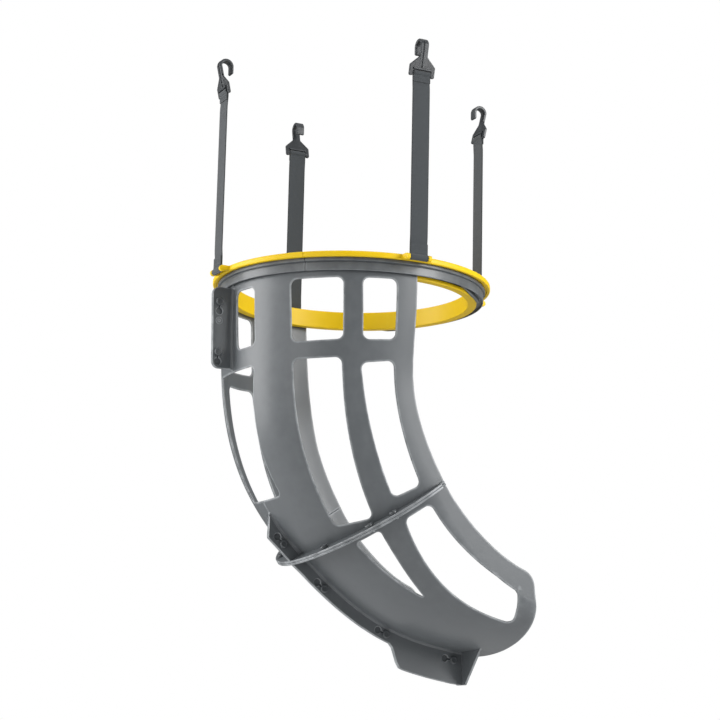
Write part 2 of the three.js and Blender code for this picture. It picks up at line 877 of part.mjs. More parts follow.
function collarHoles(body) {
  let drilled = body;
  for (const [down, across] of collarStudPlaces()) {
    const length = flangeThick * 4;
    const radius = studShankRadius + clearance;
    const hole = new THREE.CylinderGeometry(radius, radius, length, roundSides);
    hole.rotateX(quarterTurn);
    hole.translate(down, across, 0);
    drilled = drilled.subtract(solid(toCollar(hole, 0)));
  }
  return drilled;
}

function upperPanel() {
  let body = plateXZ(seamFlange(), -flangeThick - clearance / 2, -clearance / 2)
    .add(plateXZ(kiteFlange(), -flangeThick - clearance / 2, -clearance / 2))
    .add(collarPlate(-1))
    .subtract(upperCore);
  body = body.add(shell(upperRun));
  body = body.intersect(rightSide).intersect(collarBlock(-1));
  const windows = [keelSlotShares, middleSlotShares, sideSlotShares, middleWindowShares, sideWindowShares];
  for (const shares of windows) {
    body = body.subtract(windowCutter(upperRun, shares, windowRound));
  }
  body = body.subtract(windowCutter(upperRun, notchShares, notchRound));
  return collarHoles(body);
}

// What the rounding takes off the corner between the free edge and the outlet
function outletCorner() {
  const corner = lowerEdge.v3;
  const back = lowerEdge.getTangent(1).multiplyScalar(-outletRound);
  const down = lowerKeel.v3.clone().sub(corner).setLength(outletRound);
  const from = corner.clone().add(back);
  const to = corner.clone().add(down);
  const past = corner.clone().sub(back).sub(down);
  const shape = new THREE.Shape();
  shape.moveTo(from.x, from.y);
  shape.quadraticCurveTo(corner.x, corner.y, to.x, to.y);
  shape.lineTo(past.x, past.y);
  shape.closePath();
  return plateXZ(shape, -outletHalfWidth - cutOverrun, -outletHalfWidth + cutOverrun);
}

function lowerPanel() {
  let body = plateXZ(keelFlange(), -flangeThick - clearance / 2, -clearance / 2)
    .add(collarPlate(1))
    .add(gusset())
    .subtract(lowerCore);
  body = body.add(shell(lowerRun));
  body = body.intersect(rightSide).intersect(collarBlock(1)).subtract(outletCorner());
  body = body.subtract(windowCutter(lowerRun, sliverShares, sliverRound, sliverTipRound));
  body = body.subtract(windowCutter(lowerRun, outletWindowShares, windowRound));
  return collarHoles(body);
}

function collarStuds() {
  return collarStudPlaces().map(([down, across]) => {
    const geometry = studGeometry();
    geometry.rotateX(quarterTurn);
    geometry.translate(down, across, 0);
    return geometryOf(solid(toCollar(geometry, flangeThick + clearance / 2)));
  });
}

// Straps: webbing with a sewn loop at each end, seen from its edge

function strap() {
  const lowCentre = strapBarZ;
  const highCentre = strapBarZ + strapLength;
  const lowInner = strapBarRadius + clearance;
  const highInner = hookBarRadius + clearance;
  const half = strapThick / 2;
  const sewn = strapThick;
  const shape = new THREE.Shape();
  const lowOuter = lowInner + strapThick;
  const highOuter = highInner + strapThick;
  const lowReach = Math.sqrt(lowOuter ** 2 - sewn ** 2);
  const highReach = Math.sqrt(highOuter ** 2 - sewn ** 2);
  shape.moveTo(strapBarAt + sewn, highCentre - highReach);
  const highStart = Math.atan2(-highReach, sewn);
  shape.absarc(strapBarAt, highCentre, highOuter, highStart, Math.PI - highStart, false);
  shape.lineTo(strapBarAt - sewn, highCentre - sewnLength);
  shape.lineTo(strapBarAt - half, highCentre - sewnLength - strapThick);
  shape.lineTo(strapBarAt - half, lowCentre + sewnLength + strapThick);
  shape.lineTo(strapBarAt - sewn, lowCentre + sewnLength);
  const lowStart = Math.atan2(lowReach, -sewn);
  shape.absarc(strapBarAt, lowCentre, lowOuter, lowStart, Math.PI * 3 - lowStart, false);
  shape.lineTo(strapBarAt + sewn, lowCentre + sewnLength);
  shape.lineTo(strapBarAt + half, lowCentre + sewnLength + strapThick);
  shape.lineTo(strapBarAt + half, highCentre - sewnLength - strapThick);
  shape.lineTo(strapBarAt + sewn, highCentre - sewnLength);
  for (const [centre, radius] of [[lowCentre, lowInner], [highCentre, highInner]]) {
    const hole = new THREE.Path();
    hole.absarc(strapBarAt, centre, radius, 0, Math.PI * 2, true);
    shape.holes.push(hole);
  }
  return geometryOf(plateXZ(shape, -strapWidth / 2, strapWidth / 2));
}

// Hooks: drawn with x outwards and y up from the middle of the bar

const hookLean = Math.atan2(hookBendRadius, hookCentreRise);

function hookStrip() {
  const half = hookStripThick / 2;
  const bendZ = hookCentreRise;
  const outer = hookBendRadius + half;
  const inner = hookBendRadius - half;
  const foot = hookSquareHeight;
  const footX = Math.tan(hookLean) * foot;
  const tipZ = bendZ - hookTipLength;
  const shape = new THREE.Shape();
  shape.moveTo(footX + half, foot);
  shape.lineTo(outer, bendZ);
  shape.absarc(0, bendZ, outer, 0, Math.PI, false);
  shape.lineTo(-outer, tipZ);
  shape.absarc(-hookBendRadius, tipZ, half, Math.PI, Math.PI * 2, false);
  shape.lineTo(-inner, bendZ);
  shape.absarc(0, bendZ, inner, Math.PI, 0, true);
  shape.lineTo(footX - half, foot);
  return shape;
}

function hookPlate() {
  const half = strapWidth / 2 + strapSideGap + hookEarWidth;
  const slotHalf = strapWidth / 2 + strapSideGap;
  const neck = hookStripWidth / 2;
  const slotTop = hookSlotHeight;
  return polygon([
    [-half, -hookEarDrop],
    [-slotHalf, -hookEarDrop],
    [-slotHalf, slotTop],
    [slotHalf, slotTop],
    [slotHalf, -hookEarDrop],
    [half, -hookEarDrop],
    [half, hookSquareHeight],
    [neck, hookShoulderHeight],
    [-neck, hookShoulderHeight],
    [-half, hookSquareHeight],
  ]);
}

function hook() {
  const barZ = strapBarZ + strapLength;
  const plate = new THREE.ExtrudeGeometry(hookPlate(), { depth: hookPlateThick, bevelEnabled: false });
  plate.translate(0, 0, -hookPlateThick / 2);
  plate.rotateX(quarterTurn);
  plate.rotateZ(quarterTurn);
  plate.rotateY(hookLean);
  const lipLength = strapWidth + strapSideGap * 2;
  const barLength = lipLength + hookEarWidth;
  const bar = new THREE.CylinderGeometry(hookBarRadius, hookBarRadius, barLength, roundSides);
  const ribLength = hookCentreRise - hookSlotHeight;
  const rib = new THREE.BoxGeometry(hookRibHeight * 2, hookRibWidth, ribLength);
  rib.translate(hookPlateThick / 2, 0, hookSlotHeight + ribLength / 2);
  rib.rotateY(hookLean);
  const lip = new THREE.BoxGeometry(hookPlateThick + hookLipProud * 2, lipLength, hookLipHeight);
  lip.translate(0, 0, hookSlotHeight + hookLipHeight / 2);
  lip.rotateY(hookLean);
  const body = plateXZ(hookStrip(), -hookStripWidth / 2, hookStripWidth / 2)
    .add(solid(plate))
    .add(solid(bar))
    .add(solid(rib))
    .add(solid(lip));
  const geometry = geometryOf(body);
  geometry.translate(strapBarAt, 0, barZ);
  return geometry;
}

// The part

const sides = ['front', 'left', 'rear', 'right'];
const fixedGeometry = fixedQuadrant();
const strapGeometry = strap();
const hookGeometry = hook();
const tonguesOn = { front: [1, -1], left: [], rear: [], right: [] };

sides.forEach((side, i) => {
  const turn = quarterTurn * i;
  addMesh(`fixed_ring_${side}`, fixedGeometry, yellow, turn);
  addMesh(`turning_ring_${side}`, turningQuadrant(tonguesOn[side]), grey, turn);
  addMesh(`strap_${side}`, strapGeometry, webbing, turn);
  addMesh(`hook_${side}`, hookGeometry, hookGrey, turn);
});

const downward = new THREE.Vector2(0, -1);
const upperBody = upperPanel();
const lowerBody = lowerPanel();
let upperRight = upperBody;
for (const point of seamStudPoints) {
  upperRight = upperRight.subtract(keyhole(point, downward));
}
upperRight = upperRight.subtract(keyhole(kiteStudPoint, upperKeel.getTangent(kiteStud.share).negate()));
let lowerRight = lowerBody;
keelStudPoints.forEach((point, i) => {
  const towards = lowerKeel.getTangent(keelStudSeats[i].share).negate();
  lowerRight = lowerRight.subtract(keyhole(point, towards));
});
const studHole = studShankRadius + clearance;
const upperLeft = drill(upperBody, [...seamStudPoints, kiteStudPoint], studHole);
const lowerLeft = drill(lowerBody, keelStudPoints, studHole);
addMesh('chute_upper_right', geometryOf(upperRight), chuteGrey);
addMesh('chute_upper_left', mirrored(geometryOf(upperLeft)), chuteGrey);
addMesh('chute_lower_right', geometryOf(lowerRight), chuteGrey);
addMesh('chute_lower_left', mirrored(geometryOf(lowerLeft)), chuteGrey);

seamStudPoints.forEach((point, i) => {
  addMesh(`seam_stud_${i + 1}`, seamStud(point), studGrey);
});
[kiteStudPoint, ...keelStudPoints].forEach((point, i) => {
  addMesh(`keel_stud_${i + 1}`, seamStud(point), studGrey);
});
collarStuds().forEach((geometry, i) => {
  addMesh(`collar_stud_right_${i + 1}`, geometry, studGrey);
  addMesh(`collar_stud_left_${i + 1}`, mirrored(geometry), studGrey);
});

export default part;
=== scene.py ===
# %% [markdown]
# A basketball return chute hangs under a hoop on four webbing straps. A yellow ring carries a grey
# turning ring, and a slotted plastic chute hangs from that and sends the ball back to the shooter.
# The frame that the first cell loads is the measured model: every piece made here goes where it says.

# %% Load the frame
import math
import bpy
import numpy as np
from mathutils import Matrix, Vector
from mathutils.geometry import delaunay_2d_cdt


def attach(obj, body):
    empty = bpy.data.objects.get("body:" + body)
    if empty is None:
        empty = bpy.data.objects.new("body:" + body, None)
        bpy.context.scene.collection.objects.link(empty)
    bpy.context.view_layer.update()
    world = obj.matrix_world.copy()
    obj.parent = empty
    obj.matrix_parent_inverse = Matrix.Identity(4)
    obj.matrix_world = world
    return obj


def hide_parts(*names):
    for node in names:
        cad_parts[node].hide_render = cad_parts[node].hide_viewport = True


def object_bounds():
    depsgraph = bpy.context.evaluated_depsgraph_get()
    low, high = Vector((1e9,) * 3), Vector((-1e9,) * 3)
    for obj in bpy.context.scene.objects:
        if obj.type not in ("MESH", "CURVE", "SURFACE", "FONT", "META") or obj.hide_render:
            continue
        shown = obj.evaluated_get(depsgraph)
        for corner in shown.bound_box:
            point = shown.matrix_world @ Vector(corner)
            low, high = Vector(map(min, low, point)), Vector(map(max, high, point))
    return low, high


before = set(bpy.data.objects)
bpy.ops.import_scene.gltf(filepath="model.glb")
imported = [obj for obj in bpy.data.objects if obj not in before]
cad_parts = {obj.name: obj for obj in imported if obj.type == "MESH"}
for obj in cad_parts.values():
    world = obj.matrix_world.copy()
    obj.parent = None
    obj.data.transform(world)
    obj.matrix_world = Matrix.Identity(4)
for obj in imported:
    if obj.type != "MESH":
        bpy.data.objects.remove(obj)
CAD_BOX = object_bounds()
QUARTER = math.pi / 2
SIDES = ("front", "left", "rear", "right")
WHITE = (1, 1, 1, 1)


def in_scene(thing):
    """Puts an object into the scene and hands it back."""
    bpy.context.scene.collection.objects.link(thing)
    return thing


def mesh_object(name, points, faces=()):
    mesh = bpy.data.meshes.new(name)
    mesh.from_pydata([tuple(p) for p in points], [], [tuple(int(i) for i in f) for f in faces])
    return bpy.data.objects.new(name, mesh)


# %% [markdown]
# The camera stands low and looks up a little, as the photograph was taken. A long lens keeps the
# ring's far side nearly as large as its near side. Its place was measured from the ring's outline.

# %% Camera
PHOTO_WIDTH = 720
PHOTO_FOCAL = 1915.0
SENSOR = 36.0
CAMERA_REACH = 60.0
CAMERA_AT = Vector((-1.451, -3.038, -1.2005))
CAMERA_YAW = math.radians(64.16)
CAMERA_PITCH = math.radians(11.51)
CAMERA_ROLL = math.radians(1.24)
CAMERA_RIGHT = Vector((math.sin(CAMERA_YAW), -math.cos(CAMERA_YAW), 0))
CAMERA_AHEAD = Vector((math.cos(CAMERA_YAW), math.sin(CAMERA_YAW), 0))


def camera_turn():
    """The camera's own axes, from where it looks and how it is rolled."""
    ahead = CAMERA_AHEAD * math.cos(CAMERA_PITCH) + Vector((0, 0, math.sin(CAMERA_PITCH)))
    upright = CAMERA_RIGHT.cross(ahead)
    right = CAMERA_RIGHT * math.cos(CAMERA_ROLL) + upright * math.sin(CAMERA_ROLL)
    up = upright * math.cos(CAMERA_ROLL) - CAMERA_RIGHT * math.sin(CAMERA_ROLL)
    return Matrix((right, up, -ahead)).transposed()


camera_data = bpy.data.cameras.new("camera")
camera_data.sensor_fit = "HORIZONTAL"
camera_data.sensor_width = SENSOR
camera_data.lens = PHOTO_FOCAL / PHOTO_WIDTH * SENSOR
camera_data.clip_end = CAMERA_REACH
camera = in_scene(bpy.data.objects.new("camera", camera_data))
camera.matrix_world = Matrix.Translation(CAMERA_AT) @ camera_turn().to_4x4()
bpy.context.scene.camera = camera
print("lens", round(camera_data.lens, 2), "mm")

# %% [markdown]
# Materials, the world and all growing shapes are made of nodes. These helpers add a node and set or
# link its inputs in one call, and start a node group with named inputs and outputs.

# %% Node helpers
SOCKET_KINDS = {float: "Float", int: "Int", tuple: "Color"}


def feed(node, **values):
    """Sets a node's inputs by name, or by number as i0, i1. A value that is a socket is linked."""
    for key, value in values.items():
        target = node.inputs[int(key[1:]) if key[1:].isdigit() else key.replace("_", " ")]
        if isinstance(value, bpy.types.NodeSocket):
            node.id_data.links.new(value, target)
        else:
            target.default_value = value
    return node


def place(tree, kind, settings=None, **values):
    """Adds a node with its options and feeds its inputs."""
    node = tree.nodes.new(kind)
    for name, value in (settings or {}).items():
        setattr(node, name, value)
    return feed(node, **values)


def math_node(tree, operation, *values, clamp=False):
    settings = {"operation": operation, "use_clamp": clamp}
    inputs = {f"i{i}": value for i, value in enumerate(values)}
    return place(tree, "ShaderNodeMath", settings, **inputs).outputs[0]


def new_tree(name, kind, inputs, outputs):
    """A node group and the sockets it is given. An input has a start value or a word for its kind."""
    tree = bpy.data.node_groups.new(name, kind)
    for label, value in inputs.items():
        word = SOCKET_KINDS.get(type(value), value)
        made = tree.interface.new_socket(label, in_out="INPUT", socket_type="NodeSocket" + word)
        if word is not value:
            made.default_value = value
    for label, word in outputs.items():
        tree.interface.new_socket(label, in_out="OUTPUT", socket_type="NodeSocket" + word)
    return tree, tree.nodes.new("NodeGroupInput").outputs


def end_mesh_tree(tree, geometry, finish):
    """Ends a tree that grows a mesh: its copies become real and get their finish."""
    real = place(tree, "GeometryNodeRealizeInstances", Geometry=geometry)
    done = place(tree, "GeometryNodeSetMaterial", Geometry=real.outputs["Geometry"], Material=finish)
    place(tree, "NodeGroupOutput", Geometry=done.outputs["Geometry"])
    print("tree", tree.name, len(tree.nodes), "nodes")
    return tree


def new_material(name):
    """A material and its shader."""
    material = bpy.data.materials.new(name)
    material.use_nodes = True
    return material, material.node_tree.nodes["Principled BSDF"]


print("kinds of value that a tree can be given", len(SOCKET_KINDS))

# %% [markdown]
# The object hangs in a white studio. The world looks white to the camera, but it lights the plastic
# only a little; four soft lamps do the rest. One stands to the right and in front and one far to the
# left, so the panel that faces between them is darker and shows how the chute bulges. The weak ones,
# above and beside the camera, keep the rings and flanges from going black.

# %% World and lamps
WORLD_LIGHT = 0.2
OBJECT_MIDDLE = (CAD_BOX[0] + CAD_BOX[1]) / 2
# Each lamp: metres to the right, ahead and up as the camera sees it, aim height, size and watts.
LAMPS = {
    "lamp_left": ((-2.7, -0.1, 0.6), 0.0, (1.4, 2.6), 74),
    "lamp_right": ((2.8, -1.35, 0.9), 0.15, (1.2, 2.0), 100),
    "lamp_top": ((0.1, -0.3, 2.4), 0.0, (1.8, 1.8), 14),
    "lamp_fill": ((-1.6, -2.2, 0.2), 0.0, (1.2, 1.6), 16),
}
bpy.context.scene.view_settings.view_transform = "Standard"


def white_world():
    world = bpy.data.worlds.new("studio")
    world.use_nodes = True
    tree = world.node_tree
    tree.nodes.clear()
    path = place(tree, "ShaderNodeLightPath").outputs
    seen = math_node(tree, "MAXIMUM", path["Is Camera Ray"], path["Is Transmission Ray"])
    light = place(tree, "ShaderNodeBackground", Color=WHITE, Strength=WORLD_LIGHT).outputs[0]
    backdrop = place(tree, "ShaderNodeBackground", Color=WHITE, Strength=1.0).outputs[0]
    mix = place(tree, "ShaderNodeMixShader", i0=seen, i1=light, i2=backdrop).outputs[0]
    place(tree, "ShaderNodeOutputWorld", Surface=mix)
    bpy.context.scene.world = world


def soft_lamp(name, seen, aim_height, size, watts):
    lamp = bpy.data.lights.new(name, "AREA")
    lamp.shape = "RECTANGLE"
    lamp.size, lamp.size_y = size
    lamp.energy = watts
    right, ahead, up = seen
    at = OBJECT_MIDDLE + CAMERA_RIGHT * right + CAMERA_AHEAD * ahead + Vector((0, 0, up))
    aim = OBJECT_MIDDLE + Vector((0, 0, aim_height))
    stand = in_scene(bpy.data.objects.new(name, lamp))
    stand.location = at
    stand.rotation_euler = (aim - at).to_track_quat("-Z", "Y").to_euler()


white_world()
for name, values in LAMPS.items():
    soft_lamp(name, *values)
print("lamps", len(LAMPS), "with", sum(values[-1] for values in LAMPS.values()), "watts")

# %% [markdown]
# The floor is far below, out of the camera's view, but it shows in the views from above. Only the
# camera sees its faint glow, so it looks pale everywhere and lights nothing.

# %% Floor
FLOOR_DROP = 0.9
FLOOR_REACH = 20.0
FLOOR_GLOW = 0.62
FLOOR_COLOR = (0.86, 0.86, 0.86, 1)


def flat_floor():
    z = CAD_BOX[0].z - FLOOR_DROP
    corners = [(x * FLOOR_REACH, y * FLOOR_REACH, z) for x, y in ((-1, -1), (1, -1), (1, 1), (-1, 1))]
    floor = in_scene(mesh_object("floor", corners, [(0, 1, 2, 3)]))
    material, shader = new_material("pale floor")
    tree = shader.id_data
    seen = place(tree, "ShaderNodeLightPath").outputs["Is Camera Ray"]
    glow = math_node(tree, "MULTIPLY", seen, FLOOR_GLOW)
    feed(shader, Base_Color=FLOOR_COLOR, Roughness=0.9, Emission_Color=WHITE, Emission_Strength=glow)
    floor.data.materials.append(material)
    print("floor at", round(z, 3), "m")


flat_floor()

# %% [markdown]
# Moulded plastic is never one flat colour. Its rounded edges get a lighter colour painted on: a
# painted highlight, broken up by noise like real wear. Its skin has a fine grain, and the tone drifts
# a little over a large panel. Several plastics share these effects, so they are a node group: it puts
# out a colour, a roughness and a height, and the shader stays in the material. A mesh attribute named
# "edge" says how near a point is to a rounded edge.

# %% Shader group: moulded skin
DRIFT_SCALE = 7.0
SCUFF_SCALE = 55.0
SHINE_DRIFT = 0.14


def moulded_skin():
    """Tone, shine and height of an injection-moulded skin, from Object coordinates, with a painted highlight
    and some wear on rounded edges.
    """
    inputs = {
        "Color": (0.5, 0.5, 0.5, 1),
        # The edge colour and its amount paint a highlight, with some wear, on rounded edges.
        "Edge Color": (0.8, 0.8, 0.8, 1),
        "Edge Amount": 0.3,
        "Tone Drift": 0.06,
        "Roughness": 0.4,
        "Grain Size": 0.0006,
    }
    outputs = {"Color": "Color", "Roughness": "Float", "Height": "Float"}
    group, given = new_tree("moulded skin", "ShaderNodeTree", inputs, outputs)
    where = place(group, "ShaderNodeTexCoord").outputs["Object"]

    def noise(scale, detail):
        return place(group, "ShaderNodeTexNoise", Vector=where, Scale=scale, Detail=detail).outputs["Fac"]

    scuff = noise(SCUFF_SCALE, 4.0)
    drift = math_node(group, "SUBTRACT", noise(DRIFT_SCALE, 3.0), 0.5)
    tone = math_node(group, "MULTIPLY_ADD", drift, given["Tone Drift"], 1.0)
    shade = place(group, "ShaderNodeHueSaturation", Color=given["Color"], Value=tone).outputs["Color"]
    # Rounded edges mix in the edge colour: a painted highlight, broken up by scuff noise like wear.
    edge = place(group, "ShaderNodeAttribute", {"attribute_name": "edge"}).outputs["Fac"]
    broken = math_node(group, "MULTIPLY_ADD", scuff, 1.4, -0.2)
    edge_highlight_and_wear = math_node(group, "MULTIPLY", edge, broken, clamp=True)
    highlight_and_wear_mask = math_node(group, "MULTIPLY", edge_highlight_and_wear, given["Edge Amount"])
    mixed = place(group, "ShaderNodeMix", {"data_type": "RGBA"}, i0=highlight_and_wear_mask, i6=shade, i7=given["Edge Color"])
    uneven = math_node(group, "SUBTRACT", scuff, 0.5)
    shine = math_node(group, "MULTIPLY_ADD", uneven, SHINE_DRIFT, given["Roughness"])
    grain = noise(math_node(group, "DIVIDE", 1.0, given["Grain Size"]), 2.0)
    place(group, "NodeGroupOutput", Color=mixed.outputs[2], Roughness=shine, Height=grain)
    return group


MOULDED_SKIN = moulded_skin()
print("shader group", MOULDED_SKIN.name, len(MOULDED_SKIN.nodes), "nodes")

# %% [markdown]
# Webbing is woven, so its group draws raised ribs along the strap that go over and under the threads
# across it, with painted shade in the hollows between them. The strap gives it a map in metres.
# Towards both selvedges the tone gets darker: painted shade where the strap's thick edges round off.

# %% Shader group: webbing weave
FUZZ_SCALE = 900.0
# Painted shade towards the strap's edges: where it starts and ends, and the tone it falls to.
EDGE_SHADE_SHARES = (0.84, 0.97)
EDGE_SHADE_TONE = 0.62


def webbing_weave():
    """Height and tone of ribbed webbing, with painted shade in its hollows and at its edges, from a UV map in
    metres: U along the strap, V across it.
    """
    inputs = {"Color": (0.1, 0.1, 0.1, 1), "Warp Pitch": 0.0013, "Pick Pitch": 0.0011, "Half Width": 0.0167}
    group, given = new_tree("webbing weave", "ShaderNodeTree", inputs, {"Color": "Color", "Height": "Float"})

    def calc(operation, *values):
        return math_node(group, operation, *values)

    uv = place(group, "ShaderNodeUVMap", {"uv_map": "weave"}).outputs["UV"]
    apart = place(group, "ShaderNodeSeparateXYZ", Vector=uv).outputs
    warp = calc("DIVIDE", apart["Y"], given["Warp Pitch"])
    pick = calc("DIVIDE", apart["X"], given["Pick Pitch"])
    shifted = calc("ADD", pick, calc("PINGPONG", calc("FLOOR", warp), 1.0))
    over = calc("SINE", calc("MULTIPLY", shifted, math.pi))
    across = calc("ABSOLUTE", calc("SINE", calc("MULTIPLY", warp, math.pi)))
    height = calc("MULTIPLY", across, calc("MULTIPLY_ADD", over, 0.3, 0.6))
    fuzz = place(group, "ShaderNodeTexNoise", Vector=uv, Scale=FUZZ_SCALE, Detail=2.0).outputs["Fac"]
    # The hollows of the weave are painted darker, as shade; the fuzz adds a random tone.
    rib_shade_and_fuzz = calc("MULTIPLY_ADD", height, 0.5, calc("MULTIPLY_ADD", fuzz, 0.35, 0.5))
    off_middle = calc("ABSOLUTE", calc("SUBTRACT", apart["Y"], given["Half Width"]))
    share = calc("DIVIDE", off_middle, given["Half Width"])
    # Painted shade: the tone falls towards both edges of the strap.
    start, end = EDGE_SHADE_SHARES
    spread = dict(From_Min=start, From_Max=end, To_Min=1.0, To_Max=EDGE_SHADE_TONE)
    edge_shade = place(group, "ShaderNodeMapRange", {"interpolation_type": "SMOOTHSTEP"}, Value=share, **spread)
    tone = calc("MULTIPLY", calc("ADD", rib_shade_and_fuzz, 0.45), edge_shade.outputs["Result"])
    shade = place(group, "ShaderNodeHueSaturation", Color=given["Color"], Value=tone).outputs["Color"]
    place(group, "NodeGroupOutput", Color=shade, Height=height)
    return group


WEBBING_WEAVE = webbing_weave()
print("shader group", WEBBING_WEAVE.name, len(WEBBING_WEAVE.nodes), "nodes")

# %% [markdown]
# Each finish is a Principled shader with one of the groups in front of it. Values that are the same
# all over, such as coat and specular level, sit on the shader's own sockets.

# %% Finishes
COAT_ROUGHNESS = 0.18
WEAVE_DEPTH = 0.00025


def srgb(text):
    """A linear colour from a hexadecimal display colour."""
    parts = [int(text[i:i + 2], 16) / 255 for i in (0, 2, 4)]
    return (*[c / 12.92 if c <= 0.04045 else ((c + 0.055) / 1.055) ** 2.4 for c in parts], 1)


def new_finish(name, group, looks, depth, **uniform):
    """A material whose colour and relief come from the group; uniform values go on the shader."""
    material, shader = new_material(name)
    skin = place(shader.id_data, "ShaderNodeGroup", {"node_tree": group}, **looks)
    bump = place(shader.id_data, "ShaderNodeBump", Distance=depth, Height=skin.outputs["Height"])
    feed(shader, Base_Color=skin.outputs["Color"], Normal=bump.outputs["Normal"], **uniform)
    if "Roughness" in skin.outputs:
        feed(shader, Roughness=skin.outputs["Roughness"])
    return material


def plastic(name, color, edge_color, edge, drift, rough, grain, depth, coat, mirror=0.45):
    looks = dict(
        Color=srgb(color),
        Edge_Color=srgb(edge_color),
        Edge_Amount=edge,
        Tone_Drift=drift,
        Roughness=rough,
        Grain_Size=grain,
    )
    uniform = dict(Coat_Weight=coat, Coat_Roughness=COAT_ROUGHNESS, Specular_IOR_Level=mirror)
    return new_finish(name, MOULDED_SKIN, looks, depth, **uniform)


# Each plastic's second colour and the number after it are a painted highlight, with some wear, on its rounded
# edges.
YELLOW = plastic("yellow ring plastic", "f2c804", "fbe33c", 0.35, 0.06, 0.46, 0.0007, 0.00003, 0.0, 0.3)
RING_GREY = plastic("turning ring plastic", "4f5356", "a3a7aa", 0.6, 0.10, 0.40, 0.0008, 0.00005, 0.12)
CHUTE_GREY = plastic("chute plastic", "5d6164", "c9cdd0", 0.8, 0.10, 0.42, 0.0009, 0.00006, 0.10)
STUD_GREY = plastic("stud plastic", "45494c", "8b8f92", 0.3, 0.12, 0.34, 0.0007, 0.00004, 0.2)
HOOK_GREY = plastic("hook plastic", "2c2f32", "757b7f", 0.18, 0.08, 0.42, 0.0009, 0.00002, 0.1)
THREAD = plastic("strap thread", "43474a", "6f7376", 0.3, 0.2, 0.7, 0.0004, 0.00003, 0.0)
cloth = dict(Roughness=0.82, Sheen_Weight=0.25, Sheen_Roughness=0.5)
WEBBING = new_finish("strap webbing", WEBBING_WEAVE, dict(Color=srgb("34383b")), WEAVE_DEPTH, **cloth)
print("finishes", len(bpy.data.materials))

# %% [markdown]
# Two helpers make every mesh ready to be seen. The first gives each face corner a normal in which
# large faces count most, so flat areas stay flat and small rounded edges catch the light. The second
# marks the rounded edges, where the finishes paint a highlight and some wear.

# %% Mesh helpers
SOFT_ANGLE = math.radians(40)
FULL_EDGE_ANGLE = math.radians(22)


def unit(vectors):
    """The same vectors with length 1."""
    return vectors / np.maximum(np.linalg.norm(vectors, axis=-1, keepdims=True), 1e-12)


def read(items, name, kind=float, width=1):
    """One property of all items of a mesh as an array."""
    values = np.empty(len(items) * width, kind)
    items.foreach_get(name, values)
    return values.reshape(-1, width) if width > 1 else values


def face_of_corners(mesh):
    sizes = read(mesh.polygons, "loop_total", int)
    return np.repeat(np.arange(len(sizes)), sizes)


def corner_normals(mesh):
    """Sets normals that sum the faces round a corner by area, up to the soft angle."""
    vertex_of, face_of = read(mesh.loops, "vertex_index", int), face_of_corners(mesh)
    normals, areas = read(mesh.polygons, "normal", width=3), read(mesh.polygons, "area")
    order = np.argsort(vertex_of, kind="stable")
    valence = np.bincount(vertex_of, minlength=len(mesh.vertices))
    first = np.cumsum(valence) - valence
    shared = valence[vertex_of]
    mine = np.repeat(np.arange(len(vertex_of)), shared)
    step = np.arange(len(mine)) - np.repeat(np.cumsum(shared) - shared, shared)
    other = order[first[vertex_of[mine]] + step]
    own, near = normals[face_of[mine]], normals[face_of[other]]
    weight = areas[face_of[other]] * ((own * near).sum(1) > math.cos(SOFT_ANGLE))
    summed = [np.bincount(mine, near[:, k] * weight, len(vertex_of)) for k in range(3)]
    mesh.normals_split_custom_set(unit(np.stack(summed, 1)))


def mark_edges(mesh):
    """Writes the attribute "edge": 1 where neighbouring faces turn outwards sharply, 0 where flat."""
    edge_of, face_of = read(mesh.loops, "edge_index", int), face_of_corners(mesh)
    normals = read(mesh.polygons, "normal", width=3)
    centres = read(mesh.polygons, "center", width=3)
    order = np.argsort(edge_of, kind="stable")
    paired = edge_of[order][:-1] == edge_of[order][1:]
    a, b = face_of[order][:-1][paired], face_of[order][1:][paired]
    turn = np.arccos(np.clip((normals[a] * normals[b]).sum(1), -1, 1))
    convex = (normals[a] * (centres[b] - centres[a])).sum(1) < 0
    amount = np.clip(turn / FULL_EDGE_ANGLE, 0, 1) * convex
    value = np.zeros(len(mesh.vertices))
    for end in read(mesh.edges, "vertices", int, 2)[edge_of[order][:-1][paired]].T:
        np.maximum.at(value, end, amount)
    attribute = mesh.attributes.new("edge", "FLOAT", "POINT")
    attribute.data.foreach_set("value", value.astype(np.float32))


print("faces are smoothed up to", round(math.degrees(SOFT_ANGLE)), "degrees")

# %% [markdown]
# A part is a pair of points and faces. Parts can be joined, turned about the ring's axis and
# mirrored. A finished part becomes a piece: it gets its finish and the body it moves with, and the
# measured solids it stands for are hidden.


# %% Parts and pieces
def join(parts):
    """One part from several."""
    points, faces, first = [], [], 0
    for part_points, part_faces in parts:
        points.append(np.asarray(part_points, float))
        faces += [tuple(i + first for i in face) for face in part_faces]
        first += len(part_points)
    return np.concatenate(points), faces


def turned(part, angle):
    c, s = math.cos(angle), math.sin(angle)
    return part[0] @ np.array([[c, s, 0], [-s, c, 0], [0, 0, 1]]), part[1]


def mirrored(part):
    return part[0] * (1, -1, 1), [face[::-1] for face in part[1]]


def part_of(mesh):
    """A mesh as a part."""
    return read(mesh.vertices, "co", width=3), [tuple(face.vertices) for face in mesh.polygons]


def swept_part(rows):
    """A closed solid from rings of points with both ends filled, its faces turned outwards."""
    rows = np.asarray(rows)
    count, ring = rows.shape[:2]
    points, faces = rows.reshape(-1, 3), []
    for i in range(count - 1):
        for j in range(ring):
            k = (j + 1) % ring
            a, b = i * ring, (i + 1) * ring
            faces.append((a + j, a + k, b + k, b + j))
    faces += [tuple(range(ring))[::-1], tuple(range((count - 1) * ring, count * ring))]
    volume = 0.0
    for face in faces:
        for i in range(1, len(face) - 1):
            volume += points[face[0]] @ np.cross(points[face[i]], points[face[i + 1]])
    return points, faces if volume > 0 else [face[::-1] for face in faces]


